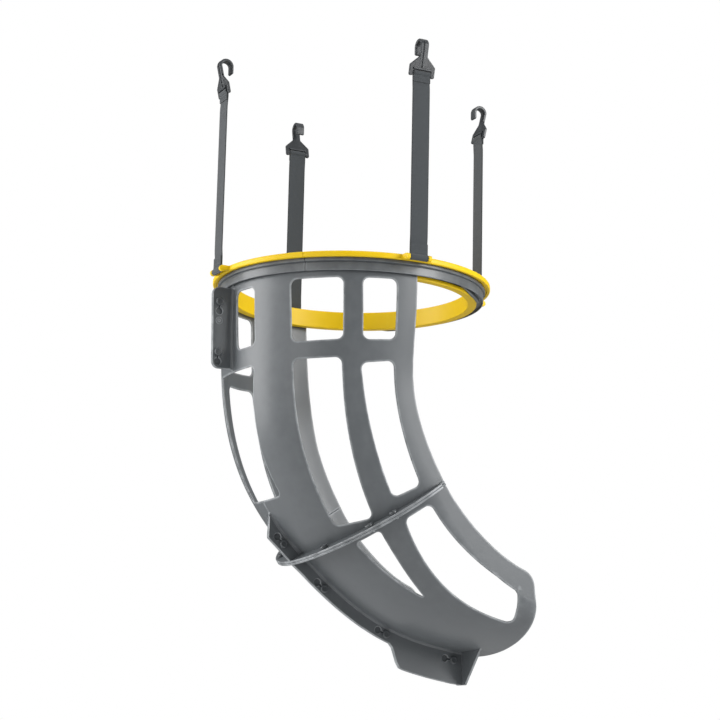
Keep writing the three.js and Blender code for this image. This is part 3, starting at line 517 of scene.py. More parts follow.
def lathed(line, centre, across, upwards, sides):
    """A closed solid from (radius, height) points, turned in the plane of two directions."""
    across, upwards = np.asarray(across, float), np.asarray(upwards, float)
    axis = np.cross(across, upwards)
    turns = np.linspace(0, 2 * math.pi, sides, endpoint=False)
    around = [across * math.cos(t) + upwards * math.sin(t) for t in turns]
    return swept_part([[centre + axis * h + way * r for way in around] for r, h in line])


def add_piece(name, part, finish, body, slot, *nodes):
    piece = in_scene(mesh_object(name, *part))
    mesh = piece.data
    mesh.materials.append(finish)
    mesh.polygons.foreach_set("use_smooth", [True] * len(mesh.polygons))
    mesh.update()
    mark_edges(mesh)
    corner_normals(mesh)
    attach(piece, body)
    if nodes:
        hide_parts(*nodes)
    print(name, len(mesh.polygons), "faces")
    return piece


def four_pieces(name, part, finish, body, slot, *nodes):
    """The same part on all four sides. A {} in a name stands for the side."""
    pieces = []
    for i, side in enumerate(SIDES):
        words = [word.format(side) for word in (body, slot, *nodes)]
        pieces.append(add_piece(name.format(side), turned(part, QUARTER * i), finish, *words))
    return pieces


print("every piece starts at the origin, like the measured solids")

# %% [markdown]
# Outlines are drawn with sharp corners and then rounded: each corner is trimmed on both sides and a
# curve joins the trimmed ends. The same helper rounds the rings' sections, the flanges and the hooks.

# %% Outline helpers
CIRCLE_PULL = 0.5523


def blend(a, b, share):
    return a + (b - a) * share


def smooth(low, high, value):
    share = np.clip((value - low) / (high - low), 0, 1)
    return share * share * (3 - 2 * share)


def straight(a, b, count=24):
    return blend(np.asarray(a, float), np.asarray(b, float), np.linspace(0, 1, count)[:, None])


def cubic(a, b, c, d, t):
    """A cubic curve from a to d that is pulled towards b and c."""
    return (1 - t) ** 3 * a + 3 * (1 - t) ** 2 * t * b + 3 * (1 - t) * t ** 2 * c + t ** 3 * d


def run_along(points):
    """How far each point of a line is from its start."""
    return np.concatenate([[0], np.cumsum(np.linalg.norm(np.diff(points, axis=0), axis=1))])


def points_at(marks, run, points):
    """The points of a line at the given distances from its start."""
    return np.stack([np.interp(marks, run, column) for column in points.T], 1)


def spaced(loop, pitch):
    """The same closed loop with a point about every pitch."""
    points = np.concatenate([loop, loop[:1]])
    run = run_along(points)
    return points_at(np.linspace(0, run[-1], int(round(run[-1] / pitch)) + 1), run, points)[:-1]


def corner_curve(start, corner, end, steps):
    """A round corner from start to end that stays inside the corner point."""
    a, b = blend(start, corner, CIRCLE_PULL), blend(end, corner, CIRCLE_PULL)
    return cubic(start, a, b, end, np.linspace(0, 1, steps + 1)[:, None])


def round_outline(corners, steps=4):
    """A closed outline from (x, y, radius) corners; a radius of 0 keeps the corner sharp."""
    corners = [(np.array(c[:2], float), c[2]) for c in corners]
    line = []
    for i, (at, radius) in enumerate(corners):
        if radius <= 0:
            line.append(at)
            continue
        back = unit(corners[i - 1][0] - at)
        on = unit(corners[(i + 1) % len(corners)][0] - at)
        cut = radius / math.tan(math.acos(np.clip(back @ on, -1, 1)) / 2)
        line += list(corner_curve(at + back * cut, at, at + on * cut, steps))
    return np.array(line)


def enclosed(points, loops):
    """Which points lie inside an odd number of the closed loops."""
    inside = np.zeros(len(points), bool)
    x, y = points[:, :1], points[:, 1:2]
    for loop in loops:
        x0, y0 = loop[:, 0], loop[:, 1]
        x1, y1 = np.roll(x0, -1), np.roll(y0, -1)
        crosses = (y0 > y) != (y1 > y)
        with np.errstate(divide="ignore", invalid="ignore"):
            reach = (x1 - x0) * (y - y0) / (y1 - y0) + x0
        inside ^= ((crosses & (x < reach)).sum(1) % 2).astype(bool)
    return inside


def room_to(points, loops):
    """How far each point lies from the nearest stretch of the loops."""
    best = np.full(len(points), np.inf)
    for loop in loops:
        for a, along in zip(loop, np.roll(loop, -1, 0) - loop):
            t = np.clip(((points - a) @ along) / max(along @ along, 1e-18), 0, 1)
            best = np.minimum(best, np.linalg.norm(points - a - t[:, None] * along, axis=1))
    return best


print("a corner of 4 steps has", len(corner_curve(*np.eye(3, 2), 4)), "points")

# %% [markdown]
# Panels, flanges and plates are all the same kind of thing: a flat or curved sheet of even thickness
# with an outline, holes and rounded rims. One function makes them all. It needs a map from a flat
# drawing to the face in space. The face is filled with even triangles, so it bends smoothly, and the
# rim is a ring of small faces that turns from one face of the sheet to the other.

# %% Sheet builder
ROUND_STEPS = 3
NUDGE = 1e-5
GRID_ROOM_SHARE = 0.55
MERGE_DISTANCE = 1e-9
PANEL_BAND = 0.0022


def across_map(face, flat):
    """The two directions in space that a step along the drawing's axes makes at each point."""
    steps = np.eye(2) * NUDGE
    return [(face(flat + step)[0] - face(flat - step)[0]) / (2 * NUDGE) for step in steps]


def rim_frame(face, loop):
    """Points, normals and the direction into the material along a closed loop of the drawing."""
    at, normal = face(loop)
    ahead = unit(np.roll(at, -1, 0) - at)
    into = np.cross(normal, ahead) + np.cross(normal, np.roll(ahead, 1, 0))
    into *= 2 / np.maximum((into ** 2).sum(1, keepdims=True), 1.0)
    right, up = across_map(face, loop)
    rr, uu, ru = (right ** 2).sum(1), (up ** 2).sum(1), (right * up).sum(1)
    ir, iu = (into * right).sum(1), (into * up).sum(1)
    flat = np.stack([ir * uu - iu * ru, iu * rr - ir * ru], 1) / (rr * uu - ru ** 2)[:, None]
    return at, normal, into, flat


def filled(outer, bands, pitch):
    """Fills the drawing between the bands: its points and its even triangles."""
    low, high = outer.min(0), outer.max(0)
    grid = np.array([
        (x + (j % 2) * pitch / 2, y)
        for j, y in enumerate(np.arange(low[1], high[1], pitch * math.sqrt(3) / 2))
        for x in np.arange(low[0], high[0], pitch)
    ])
    grid = grid[enclosed(grid, bands)]
    grid = grid[room_to(grid, bands) > pitch * GRID_ROOM_SHARE]
    flat = np.concatenate([*bands, grid])
    edges, first = [], 0
    for loop in bands:
        n = len(loop)
        edges += [(first + i, first + (i + 1) % n) for i in range(n)]
        first += n
    made = delaunay_2d_cdt([Vector(p) for p in flat], edges, [], 0, MERGE_DISTANCE)
    assert all(made[3]), "an outline crosses itself where it is set in"
    source = np.array([origin[0] for origin in made[3]])
    triangles = np.array(made[2])
    middles = np.array([tuple(v) for v in made[0]])[triangles].mean(1)
    return flat, source[triangles[enclosed(middles, bands)]]


def sheet_part(face, outer, holes, thick, rounding, pitch, band=PANEL_BAND):
    """A sheet between face and face minus thick. Loops run with the material on their left."""
    loops = [np.asarray(loop, float) for loop in [outer, *holes]]
    rims = [rim_frame(face, loop) for loop in loops]
    bands = [loop + rim[3] * (rounding + band) for loop, rim in zip(loops, rims)]
    flat, triangles = filled(loops[0], bands, pitch)
    at, normal = face(flat)
    points = [at, at - normal * thick]
    faces = [tuple(t) for t in triangles] + [tuple(t[::-1] + len(flat)) for t in triangles]
    total, first = 2 * len(flat), 0
    angles = np.linspace(0, QUARTER, ROUND_STEPS + 1)
    for (at, normal, into, inwards), loop in zip(rims, loops):
        n = len(at)
        skin, skin_normal = face(loop + inwards * rounding)
        rows = [np.arange(n) + first]
        for side, angle in [(0, angle) for angle in angles] + [(1, angle) for angle in angles[::-1]]:
            inset, sink = rounding * (1 - math.sin(angle)), rounding * (1 - math.cos(angle))
            depth = thick - sink if side else sink
            points.append(at + into * inset - normal * depth if angle else skin - skin_normal * depth)
            rows.append(np.arange(n) + total)
            total += n
        rows.append(np.arange(n) + first + len(flat))
        for upper, lower in zip(rows, rows[1:]):
            for i in range(n):
                k = (i + 1) % n
                faces.append((upper[k], upper[i], lower[i], lower[k]))
        first += n
    return np.concatenate(points), faces


print("a rim is rounded in", 2 * ROUND_STEPS, "steps")

# %% [markdown]
# The chute is a half pipe that turns from straight down to nearly level. Two curves in its middle
# plane rule it: the keel behind and the free edge in front. Between them each section is a half
# ellipse, a little fuller in the upper run, and ends in a short straight lip. The drawing that the
# sheet builder needs is this surface unrolled: along the run, and round it from the keel.

# %% Chute surface
WALL = 0.0035
SEAM_GAP = 0.0003
GIRTH = 0.34
TOP_HALF_WIDTH = 0.2298
WAIST_HALF_WIDTH = 0.206
OUTLET_HALF_WIDTH = 0.215
TOP_RISE = 0.014
WAIST_RISE = 0.015
OUTLET_RISE = 0.049
WIDTH_BLEND_SHARE = 0.62
FULLNESS = 0.2
FULLNESS_PEAK_SHARE = 0.9
KEEL_TOP = (-0.2307, -0.3906)
EDGE_TOP = (TOP_RISE, -0.3906)
SMALL_STEP = 1e-4


def curve(start, run, drop, shares):
    """A curve in the middle plane from its start, its reach and its two pull points."""
    points = np.array([(0, 0), *shares, (1, 1)]) * (run, -drop) + start
    return lambda t: cubic(*points, np.asarray(t, float)[..., None])


class Run:
    """One run of the chute: its curves, how its section changes, and its unrolled length."""

    def __init__(self, keel, edge, rises, half_width, fullness, length):
        self.keel, self.edge, self.length = keel, edge, length
        self.rises, self.half_width, self.fullness = rises, half_width, fullness

    def rise(self, along):
        return blend(*self.rises, along)

    def raw(self, flat):
        along, girth = flat[:, 0] / self.length, flat[:, 1]
        top = self.edge(along)
        down = self.keel(along) - top
        depth = np.linalg.norm(down, axis=1)
        down /= depth[:, None]
        angle = np.minimum(girth / GIRTH, 1) * QUARTER
        power = self.fullness(along)
        swell = (abs(np.cos(angle)) ** power + abs(np.sin(angle)) ** power) ** (-1 / power)
        lip = np.maximum(girth - GIRTH, 0)
        reach = self.rise(along) + (depth - self.rise(along)) * swell * np.cos(angle) - lip
        across = -self.half_width(along) * swell * np.sin(angle)
        return np.stack([top[:, 0] + down[:, 0] * reach, across, top[:, 1] + down[:, 1] * reach], 1)

    def face(self, flat):
        forward = self.raw(flat + (SMALL_STEP, 0)) - self.raw(flat - (SMALL_STEP, 0))
        round_it = self.raw(flat + (0, SMALL_STEP)) - self.raw(flat - (0, SMALL_STEP))
        return self.raw(flat), unit(np.cross(forward, round_it))

    def flat(self, along, turn):
        """Drawing places from shares along the run and turns: 0 keel, 1 side, 2 free edge."""
        along, turn = np.broadcast_arrays(np.asarray(along, float), np.asarray(turn, float))
        girth = np.minimum(turn, 1) * GIRTH + np.maximum(turn - 1, 0) * self.rise(along)
        return np.stack([along * self.length, girth], -1)


def upper_half_width(along):
    share = 0.5 + 0.5 * np.cos(math.pi * np.minimum(1, along / WIDTH_BLEND_SHARE))
    return blend(WAIST_HALF_WIDTH, TOP_HALF_WIDTH, share)


def upper_fullness(along):
    return 2 + FULLNESS * np.sin(math.pi * np.clip(along, 0, 1) ** FULLNESS_PEAK_SHARE) ** 2


def lower_half_width(along):
    return blend(WAIST_HALF_WIDTH, OUTLET_HALF_WIDTH, along)


def lower_fullness(along):
    return 2 + 0 * along


upper_keel = curve(KEEL_TOP, 0.147, 0.481, [(0, 0.4), (-0.01, 0.726)])
upper_edge = curve(EDGE_TOP, 0.071, 0.363, [(0.11, 0.455), (-0.17, 0.615)])
lower_keel = curve(upper_keel(1.0), 0.355, 0.160, [(0.41, 0.83), (0.61, 0.86)])
lower_edge = curve(upper_edge(1.0), 0.170, 0.145, [(0.21, 0.42), (0.64, 0.885)])
UPPER = Run(upper_keel, upper_edge, (TOP_RISE, WAIST_RISE), upper_half_width, upper_fullness, 0.44)
LOWER = Run(lower_keel, lower_edge, (WAIST_RISE, OUTLET_RISE), lower_half_width, lower_fullness, 0.32)
print("outlet keel at", lower_keel(1.0).round(4), "free edge at", lower_edge(1.0).round(4))

# %% [markdown]
# The windows let air and sight through and save plastic. Each has four sides that follow the
# surface, given as shares of the run and as turns from the keel, and rounded corners.

# %% Windows
WINDOW_ROUND = 0.011
SLIVER_ROUNDS = (0.0066, 0.0015)
OUTLINE_PITCH = 0.005
CORNER_STEPS = 6
# Each window: its reach along the run, how its ends slant, keel side, edge side, how both sides bow.
UPPER_WINDOWS = [
    ((0.057, 0.247), (0, 0), (0.05, 0.07), (0.2, 0.219), (0, 0)),
    ((0.054, 0.269), (0, 0.012), (0.42, 0.444), (0.677, 0.688), (0, 0)),
    ((0.055, 0.29), (0, 0.01), (0.77, 0.782), (0.932, 0.938), (0, 0)),
    ((0.335, 0.962), (0.02, 0.03), (0.45, 0.386), (0.683, 0.595), (0.022, 0.032)),
    ((0.387, 0.955), (0.012, 0.01), (0.775, 0.745), (0.936, 0.912), (0.024, 0.012)),
]
SLIVER = ((0.028, 0.388), (0, 0), (0.42, 0.475), (0.579, 0.484), (-0.01, 0.003))
OUTLET_WINDOW = ((0.05, 0.875), (0.01, -0.04), (0.735, 0.645), (0.912, 1.05), (-0.058, -0.035))


def rounded_loop(face, sides, radii):
    """Joins sides that meet end to start; radii[i] rounds the corner where side i ends."""
    followers = sides[1:] + sides[:1]
    cuts = []
    for side, following, radius in zip(sides, followers, radii):
        back, on = face(side[-2:])[0], face(following[:2])[0]
        a, b = unit(back[0] - back[1]), unit(on[1] - on[0])
        cuts.append(radius / math.tan(math.acos(np.clip(a @ b, -1, 1)) / 2))
    trimmed = []
    for i, side in enumerate(sides):
        run = run_along(face(side)[0])
        start, end = cuts[i - 1], run[-1] - cuts[i]
        marks = np.linspace(start, end, max(1, int(round((end - start) / OUTLINE_PITCH))) + 1)
        trimmed.append(points_at(marks, run, side))
    loop = []
    for i, side in enumerate(sides):
        loop.append(trimmed[i][:-1])
        if radii[i] > 0:
            following = trimmed[(i + 1) % len(sides)]
            loop.append(corner_curve(trimmed[i][-1], side[-1], following[0], CORNER_STEPS)[:-1])
    return np.concatenate(loop)


def window_loop(run, shares, rounds=(WINDOW_ROUND, WINDOW_ROUND)):
    reach, slant, keel_side, edge_side, swell = shares

    def point(share, part):
        share, part = np.broadcast_arrays(np.asarray(share, float), np.asarray(part, float))
        bow = 4 * share * (1 - share)
        low = blend(*keel_side, share) + swell[0] * bow
        high = blend(*edge_side, share) + swell[1] * bow
        shift = blend(*slant, share) * (part - 0.5)
        return run.flat(blend(*reach, share) + shift, blend(low, high, part))

    share, part = np.linspace(0, 1, 40), np.linspace(0, 1, 12)
    sides = [point(0, part), point(share, 1), point(1, part[::-1]), point(share[::-1], 0)]
    start, end = rounds
    return rounded_loop(run.face, sides, [start, end, end, start])


upper_windows = [window_loop(UPPER, shares) for shares in UPPER_WINDOWS]
lower_windows = [window_loop(LOWER, SLIVER, SLIVER_ROUNDS), window_loop(LOWER, OUTLET_WINDOW)]
print("windows in a right half", len(upper_windows) + len(lower_windows))

# %% [markdown]
# Each run is two mirrored panels. The drawing of a panel goes down the seam, round the collar end,
# back along the free edge and round the ring end. The upper panels have a notch at the seam, so two
# of them leave a window between them. The outlet's free corner is rounded.

# %% Panels
PANEL_PITCH = 0.0065
PANEL_ROUND = 0.0015
SEAM_GIRTH = 0.00025
END_TRIM_SHARE = 0.0004
OUTLET_CORNER_ROUND = 0.026
NOTCH_ROUND = 0.009
NOTCH_REACH = (0.317, 0.783)
NOTCH_DEPTH = (0.214, 0.186)
NOTCH_BOW = -0.019
END_POINTS = 60


def seam_line(run, start, end):
    return straight((start * run.length, SEAM_GIRTH), (end * run.length, SEAM_GIRTH))


def panel_outline(run, start, end, seam, rim_points):
    """Closes the sides along the seam with both ends and the free edge."""
    rim = run.flat(np.linspace(end, start, rim_points), 2.0)
    ends = straight(seam[-1][-1], rim[0], END_POINTS), straight(rim[-1], seam[0][0], END_POINTS)
    return [*seam, ends[0], rim, ends[1]]


def upper_outline():
    end, (first, last) = 1 - END_TRIM_SHARE, NOTCH_REACH
    share = np.linspace(0, 1, 40)
    bay = blend(*NOTCH_DEPTH, share) + NOTCH_BOW * 4 * share * (1 - share)
    inner = UPPER.flat(blend(first, last, share), bay)
    above, below = seam_line(UPPER, 0, first), seam_line(UPPER, last, end)
    seam = [above, straight(above[-1], inner[0]), inner, straight(inner[-1], below[0]), below]
    sides = panel_outline(UPPER, 0, end, seam, 60)
    return rounded_loop(UPPER.face, sides, [0, NOTCH_ROUND, NOTCH_ROUND, 0, 0, 0, 0, 0])


def lower_outline():
    seam = [seam_line(LOWER, END_TRIM_SHARE, 1)]
    sides = panel_outline(LOWER, END_TRIM_SHARE, 1, seam, 50)
    return rounded_loop(LOWER.face, sides, [0, OUTLET_CORNER_ROUND, 0, 0])


upper_panel = sheet_part(UPPER.face, upper_outline(), upper_windows, WALL, PANEL_ROUND, PANEL_PITCH)
lower_panel = sheet_part(LOWER.face, lower_outline(), lower_windows, WALL, PANEL_ROUND, PANEL_PITCH)
print("upper panel", len(upper_panel[1]), "lower panel", len(lower_panel[1]), "faces")

# %% [markdown]
# Flanges join the panels: one behind at the top seam, one along the keel below, and a collar where
# the upper and lower runs meet. They are flat plates of the same moulding, so the sheet builder
# makes them from drawings in their own planes. Their roots sink into the wall of the panel.

# %% Flange planes
FLANGE = 0.004
FLANGE_ROUND = 0.0010
PLATE_BAND = 0.0004
PLATE_PITCH = 0.008
ROOT_SINK = 0.0017
RING_TOP = -0.3795
FLANGE_Y = -FLANGE - SEAM_GAP / 2


def flat_face(origin, right, up):
    origin, right, up = (np.asarray(v, float) for v in (origin, right, up))
    normal = np.cross(right, up)

    def face(flat):
        return origin + flat[:, :1] * right + flat[:, 1:2] * up, np.broadcast_to(normal, (len(flat), 3))

    return face


def plate(face, loop, holes=(), rounding=FLANGE_ROUND):
    return sheet_part(face, loop, holes, FLANGE, rounding, PLATE_PITCH, PLATE_BAND)


def keel_tangent(keel, share):
    return unit(keel(share + SMALL_STEP) - keel(share - SMALL_STEP))


def keel_offset(keel, share, out):
    """Points beside a keel curve, out to its lower left."""
    share = np.atleast_1d(share).astype(float)
    x, z = keel_tangent(keel, share).T
    return keel(share) + np.stack([z, -x], 1) * np.reshape(out, (-1, 1))


def share_at_height(keel, z):
    shares = np.linspace(0, 1, 400)
    heights = keel(shares)[:, 1]
    return float(np.interp(z, heights[::-1], shares[::-1]))


def upright(x_z):
    """A point or direction of the middle plane in space."""
    return np.array([x_z[0], 0, x_z[1]])


SEAM_PLANE = flat_face((0, FLANGE_Y, 0), (1, 0, 0), (0, 0, 1))
collar_reach = upper_keel(1.0) - upper_edge(1.0)
collar_depth = float(np.linalg.norm(collar_reach)) - WAIST_RISE
collar_down = unit(collar_reach)
collar_normal = np.array([-collar_down[1], collar_down[0]])
COLLAR_DOWN, COLLAR_NORMAL, COLLAR_AT = (upright(v) for v in (collar_down, collar_normal, upper_edge(1.0)))
print("collar leans", round(math.degrees(math.atan2(*collar_down[::-1])), 1), "degrees")

# %% [markdown]
# A stud's round head passes through the wide end of a keyhole in the right flange and slides into
# the narrow end. Only the right flanges have keyholes; the left ones hold the studs.

# %% Keyholes
STUD_SHANK = 0.0035
STUD_HEAD = 0.0072
KEYHOLE_ENTRY = 0.0062
KEYHOLE_PITCH = 0.0165
SEAM_FLANGE_TOP = RING_TOP - 0.034
SEAM_STUD_DROPS = (0.0265, 0.116)
SEAM_STUD_OUT = 0.025
# Studs beside the keels: share of the run and distance out from the keel.
KITE_STUD = (0.933, 0.0135)
KEEL_STUDS = ((0.124, 0.0148), (0.464, 0.0125), (0.864, 0.0167))


def keyhole_loop(at, towards):
    """A round seat, a slot and a wider entry, with the material on the left."""
    slot = STUD_SHANK / 2
    side = np.array([-towards[1], towards[0]])
    line = []
    for centre, radius, sign in ((0, STUD_SHANK + SEAM_GAP, 1), (KEYHOLE_PITCH, KEYHOLE_ENTRY, -1)):
        turn = math.asin(slot / radius)
        for angle in np.linspace(turn, 2 * math.pi - turn, 22):
            u, v = centre + sign * radius * math.cos(angle), sign * radius * math.sin(angle)
            line.append(at + towards * u + side * v)
    return np.array(line)[::-1]


def keel_places(keel, rows):
    """The studs' places beside a keel and their keyholes, which open up the run."""
    places = [keel_offset(keel, share, out)[0] for share, out in rows]
    return places, [keyhole_loop(at, -keel_tangent(keel, share)) for at, (share, _) in zip(places, rows)]


seam_studs = [np.array([KEEL_TOP[0] - SEAM_STUD_OUT, SEAM_FLANGE_TOP - drop]) for drop in SEAM_STUD_DROPS]
seam_holes = [keyhole_loop(at, np.array([0.0, -1.0])) for at in seam_studs]
kite_studs, kite_holes = keel_places(upper_keel, [KITE_STUD])
keel_studs, keel_holes = keel_places(lower_keel, KEEL_STUDS)
print("keyholes", len(seam_holes) + len(kite_holes) + len(keel_holes))

# %% [markdown]
# The seam flange is a tall plate with two round corners. The kite flange fills the bend above the
# collar. The keel flange starts narrow below the collar, steps out to full width and ends at a
# three-cornered gusset that stiffens the trough's underside.

# %% Flange outlines
SEAM_FLANGE_WIDTH = 0.038
SEAM_FLANGE_LENGTH = 0.144
SEAM_FLANGE_ROUND = 0.012
SEAM_FLANGE_TAPER = 0.004
COLLAR_WIDTH = 0.026
COLLAR_SET_BACK = 0.0006
COLLAR_OVERLAP = 0.002
KITE_START_SHARE = 0.822
KITE_STRAIGHT = 0.046
FLANGE_CORNER_ROUND = 0.004
KEEL_FLANGE_WIDTH = 0.024
KEEL_FLANGE_WIDE = 0.058
KEEL_STEP_SHARES = (0.5, 0.6)
GUSSET_INSET = 0.038


def sharp(points):
    return [(x, z, 0) for x, z in points]


def collar_side(shift):
    """Both ends of a flange's side along the collar, at its outer edge and at its root."""
    outs = (COLLAR_WIDTH - COLLAR_SET_BACK, -ROOT_SINK)
    return [upper_keel(1.0) + collar_down * out + collar_normal * shift for out in outs]


def seam_flange_loop():
    top, bottom = SEAM_FLANGE_TOP, SEAM_FLANGE_TOP - SEAM_FLANGE_LENGTH
    outer = KEEL_TOP[0] - SEAM_FLANGE_WIDTH
    shares = np.linspace(share_at_height(upper_keel, bottom), share_at_height(upper_keel, top), 14)
    root = keel_offset(upper_keel, shares, -ROOT_SINK)
    low = (outer + SEAM_FLANGE_TAPER, bottom, SEAM_FLANGE_ROUND)
    return round_outline([low, *sharp(root), (outer, top, SEAM_FLANGE_ROUND)], 8)


def kite_flange_loop():
    root = keel_offset(upper_keel, np.linspace(0.995, KITE_START_SHARE, 10), -ROOT_SINK)
    start = upper_keel(KITE_START_SHARE)
    corner = (start[0], start[1] - KITE_STRAIGHT, FLANGE_CORNER_ROUND)
    return round_outline([corner, *sharp(collar_side(-COLLAR_OVERLAP)), *sharp(root)], 4)


def keel_flange_loop():
    shares = np.linspace(0.03, gusset_share, 40)
    width = blend(KEEL_FLANGE_WIDTH, KEEL_FLANGE_WIDE, smooth(*KEEL_STEP_SHARES, shares))
    outside = keel_offset(lower_keel, shares[:-1], width[:-1])
    end = (gusset_root[0] + FLANGE / 2, gusset_root[1] - KEEL_FLANGE_WIDE)
    inside = keel_offset(lower_keel, np.linspace(gusset_share, 0.025, 40), -ROOT_SINK)
    start, first = collar_side(COLLAR_OVERLAP)
    return np.array([start, *outside, end, *inside, first])


keel_length = float(run_along(lower_keel(np.linspace(0, 1, 400)))[-1])
gusset_share = 1 - GUSSET_INSET / keel_length
gusset_root = lower_keel(gusset_share)
seam_flange, kite_flange, keel_flange = seam_flange_loop(), kite_flange_loop(), keel_flange_loop()
print("keel", round(keel_length, 3), "m long; gusset at", gusset_root.round(4))

# %% [markdown]
# The collar is a half ring that follows the panels' ends and gets narrow towards the free edge. The
# gusset stands across the trough's underside, so its upper side is cut to the trough's shape.

# %% Collar and gusset
COLLAR_ROUND = 0.0014
COLLAR_TIP_WIDTH = 0.005
COLLAR_TAPER_TURNS = (0.72, 1.25)
COLLAR_LIP_TURNS = (1.1, 1.85)
GUSSET_REACH = 0.074
GUSSET_FOOT = 0.016
GUSSET_TIP = 0.015
TROUGH_SHARES = (0.6, 1.05)
TROUGH_TURNS = (0.0, 0.3)


def collar_point(turn, out):
    angle = np.minimum(turn, 1) * QUARTER
    normal = unit(np.stack([np.cos(angle) / collar_depth, np.sin(angle) / WAIST_HALF_WIDTH], 1))
    down = WAIST_RISE + collar_depth * np.cos(angle) - np.maximum(turn - 1, 0) * WAIST_RISE
    return np.stack([down, WAIST_HALF_WIDTH * np.sin(angle)], 1) + normal * np.reshape(out, (-1, 1))


def collar_width(turn):
    return blend(COLLAR_WIDTH, COLLAR_TIP_WIDTH, smooth(*COLLAR_TAPER_TURNS, turn))


def collar_plate(side):
    turns = np.concatenate([np.linspace(0, 1, 50), np.linspace(*COLLAR_LIP_TURNS, 5)])
    outside, inside = collar_point(turns, collar_width(turns)), collar_point(turns[::-1], -WALL / 2)
    loop = np.concatenate([outside, inside])
    origin = COLLAR_AT + COLLAR_NORMAL * side * (SEAM_GAP / 2 + FLANGE)
    across = np.array([0, -1, 0])
    if side < 0:
        return plate(flat_face(origin, COLLAR_DOWN, across), loop, (), COLLAR_ROUND)
    return plate(flat_face(origin, across, COLLAR_DOWN), loop[::-1, ::-1], (), COLLAR_ROUND)


def trough_line(x, reach):
    """Where a plane across the trough meets its outer face, sunk into the wall, as (y, z) points."""
    shares, line = np.linspace(*TROUGH_SHARES, 200), []
    for turn in np.linspace(*TROUGH_TURNS, 31):
        at, normal = LOWER.face(LOWER.flat(shares, turn + 1e-6))
        sunk = at - normal * ROOT_SINK
        line.append([np.interp(x, sunk[:, 0], sunk[:, k]) for k in (1, 2)])
    line = np.array(line)
    line = line[line[:, 0] > -reach]
    return np.concatenate([line[line[:, 0] > line[-1, 0] + GUSSET_TIP], line[-1:]])


def gusset_plate():
    """The right half of the gusset, as seen from the outlet."""
    foot = gusset_root[1] - KEEL_FLANGE_WIDE
    corners = [(-GUSSET_FOOT, foot, FLANGE_CORNER_ROUND), (-SEAM_GAP / 2, foot, 0)]
    corners += [(min(y, -SEAM_GAP / 2), z, 0) for y, z in trough_line(gusset_root[0], GUSSET_REACH)]
    face = flat_face((gusset_root[0] + FLANGE, 0, 0), (0, 1, 0), (0, 0, 1))
    return plate(face, round_outline(corners, 5))


collars, gusset = [collar_plate(-1), collar_plate(1)], gusset_plate()
print("collar halves", [len(part[1]) for part in collars], "gusset", len(gusset[1]), "faces")

# %% [markdown]
# Where a flange leaves the panel, the mould leaves a concave fillet. It is a thin prism: its hidden
# corner lies in the joint, and its visible side is the quarter arc between the two faces.

# %% Fillets
FILLET = 0.005
FILLET_STEPS = 5
FILLET_SINK = 0.0001
FILLET_HIDE = 0.001
FILLET_SPAN = 0.03
FILLET_SAMPLES = 30


def root_fillet(run, keel, shares):
    """The fillet between the right flange's face and the panel, along a stretch of the keel."""
    rows = []
    for share, out in zip(shares, keel_offset(keel, shares, 1.0) - keel(shares)):
        girth = np.linspace(0, FILLET_SPAN, FILLET_SAMPLES)
        at = run.face(np.stack([0 * girth + share * run.length, girth], 1))[0]
        touch = lambda y: np.array([np.interp(-y, -at[:, 1], column) for column in at.T])
        corner = touch(FLANGE_Y)
        along_panel = touch(FLANGE_Y - FILLET) - corner
        along_flange = upright(out) * FILLET
        sunk = corner - along_flange * 0.03 + (0, FILLET_SINK, 0)
        row = [corner + (0, FILLET_HIDE, 0) - along_flange * 0.2]
        for t in np.linspace(0, QUARTER, FILLET_STEPS + 1):
            row.append(sunk + along_flange * (1 - math.cos(t)) + along_panel * (1 - math.sin(t)))
        rows.append(row)
    return swept_part(rows)


seam_share = [share_at_height(upper_keel, SEAM_FLANGE_TOP - drop) for drop in (0.0, SEAM_FLANGE_LENGTH)]
upper_fillets = [
    root_fillet(UPPER, upper_keel, np.linspace(*seam_share, 24)),
    root_fillet(UPPER, upper_keel, np.linspace(KITE_START_SHARE + 0.01, 0.99, 16)),
]
lower_fillets = [root_fillet(LOWER, lower_keel, np.linspace(0.02, gusset_share, 40))]
print("fillets", len(upper_fillets) + len(lower_fillets))

# %% [markdown]
# A mould insert leaves a low round mark between the two upper keyholes. It is a small lathed ring on
# the outside of the right seam flange.

# %% Round mark
MARK_DROP = 0.060
MARK_RADIUS = 0.0066
MARK_PROUD = 0.0006
MARK_SIDES = 32


def round_mark():
    r, h = MARK_RADIUS, MARK_PROUD
    line = [(r, -h), (r, h * 0.5), (r - h, h), (r - 2 * h, h * 0.3)]
    line += [(r * 0.45, h * 0.3), (r * 0.35, h), (r * 0.1, h)]
    centre = np.array([seam_studs[0][0], FLANGE_Y, SEAM_FLANGE_TOP - MARK_DROP])
    across = unit(np.array([-1.0, 0, 0.3]))
    return lathed(line, centre, across, np.array([-across[2], 0, across[0]]), MARK_SIDES)


mark = round_mark()
print("round mark", len(mark[1]), "faces")

# %% [markdown]
# Now the pieces of the chute go together. Each panel is one piece with its flanges, as it comes out
# of the mould. The left panels are mirror images without keyholes.


# %% Chute pieces
def chute_piece(place_name, parts):
    if place_name.endswith("left"):
        parts = [mirrored(part) for part in parts]
    add_piece(f"panel_{place_name}", join(parts), CHUTE_GREY, "chute", "chute", f"chute_{place_name}")


loops = [(seam_flange, seam_holes), (kite_flange, kite_holes), (keel_flange, keel_holes)]
pierced = [plate(SEAM_PLANE, loop, holes) for loop, holes in loops]
plain = [plate(SEAM_PLANE, loop) for loop, _ in loops]
upper = [upper_panel, collars[0], *upper_fillets]
lower = [lower_panel, collars[1], gusset, *lower_fillets]
chute_piece("upper_right", upper + pierced[:2] + [mark])
chute_piece("lower_right", lower + pierced[2:])
chute_piece("upper_left", upper + plain[:2])
chute_piece("lower_left", lower + plain[2:])

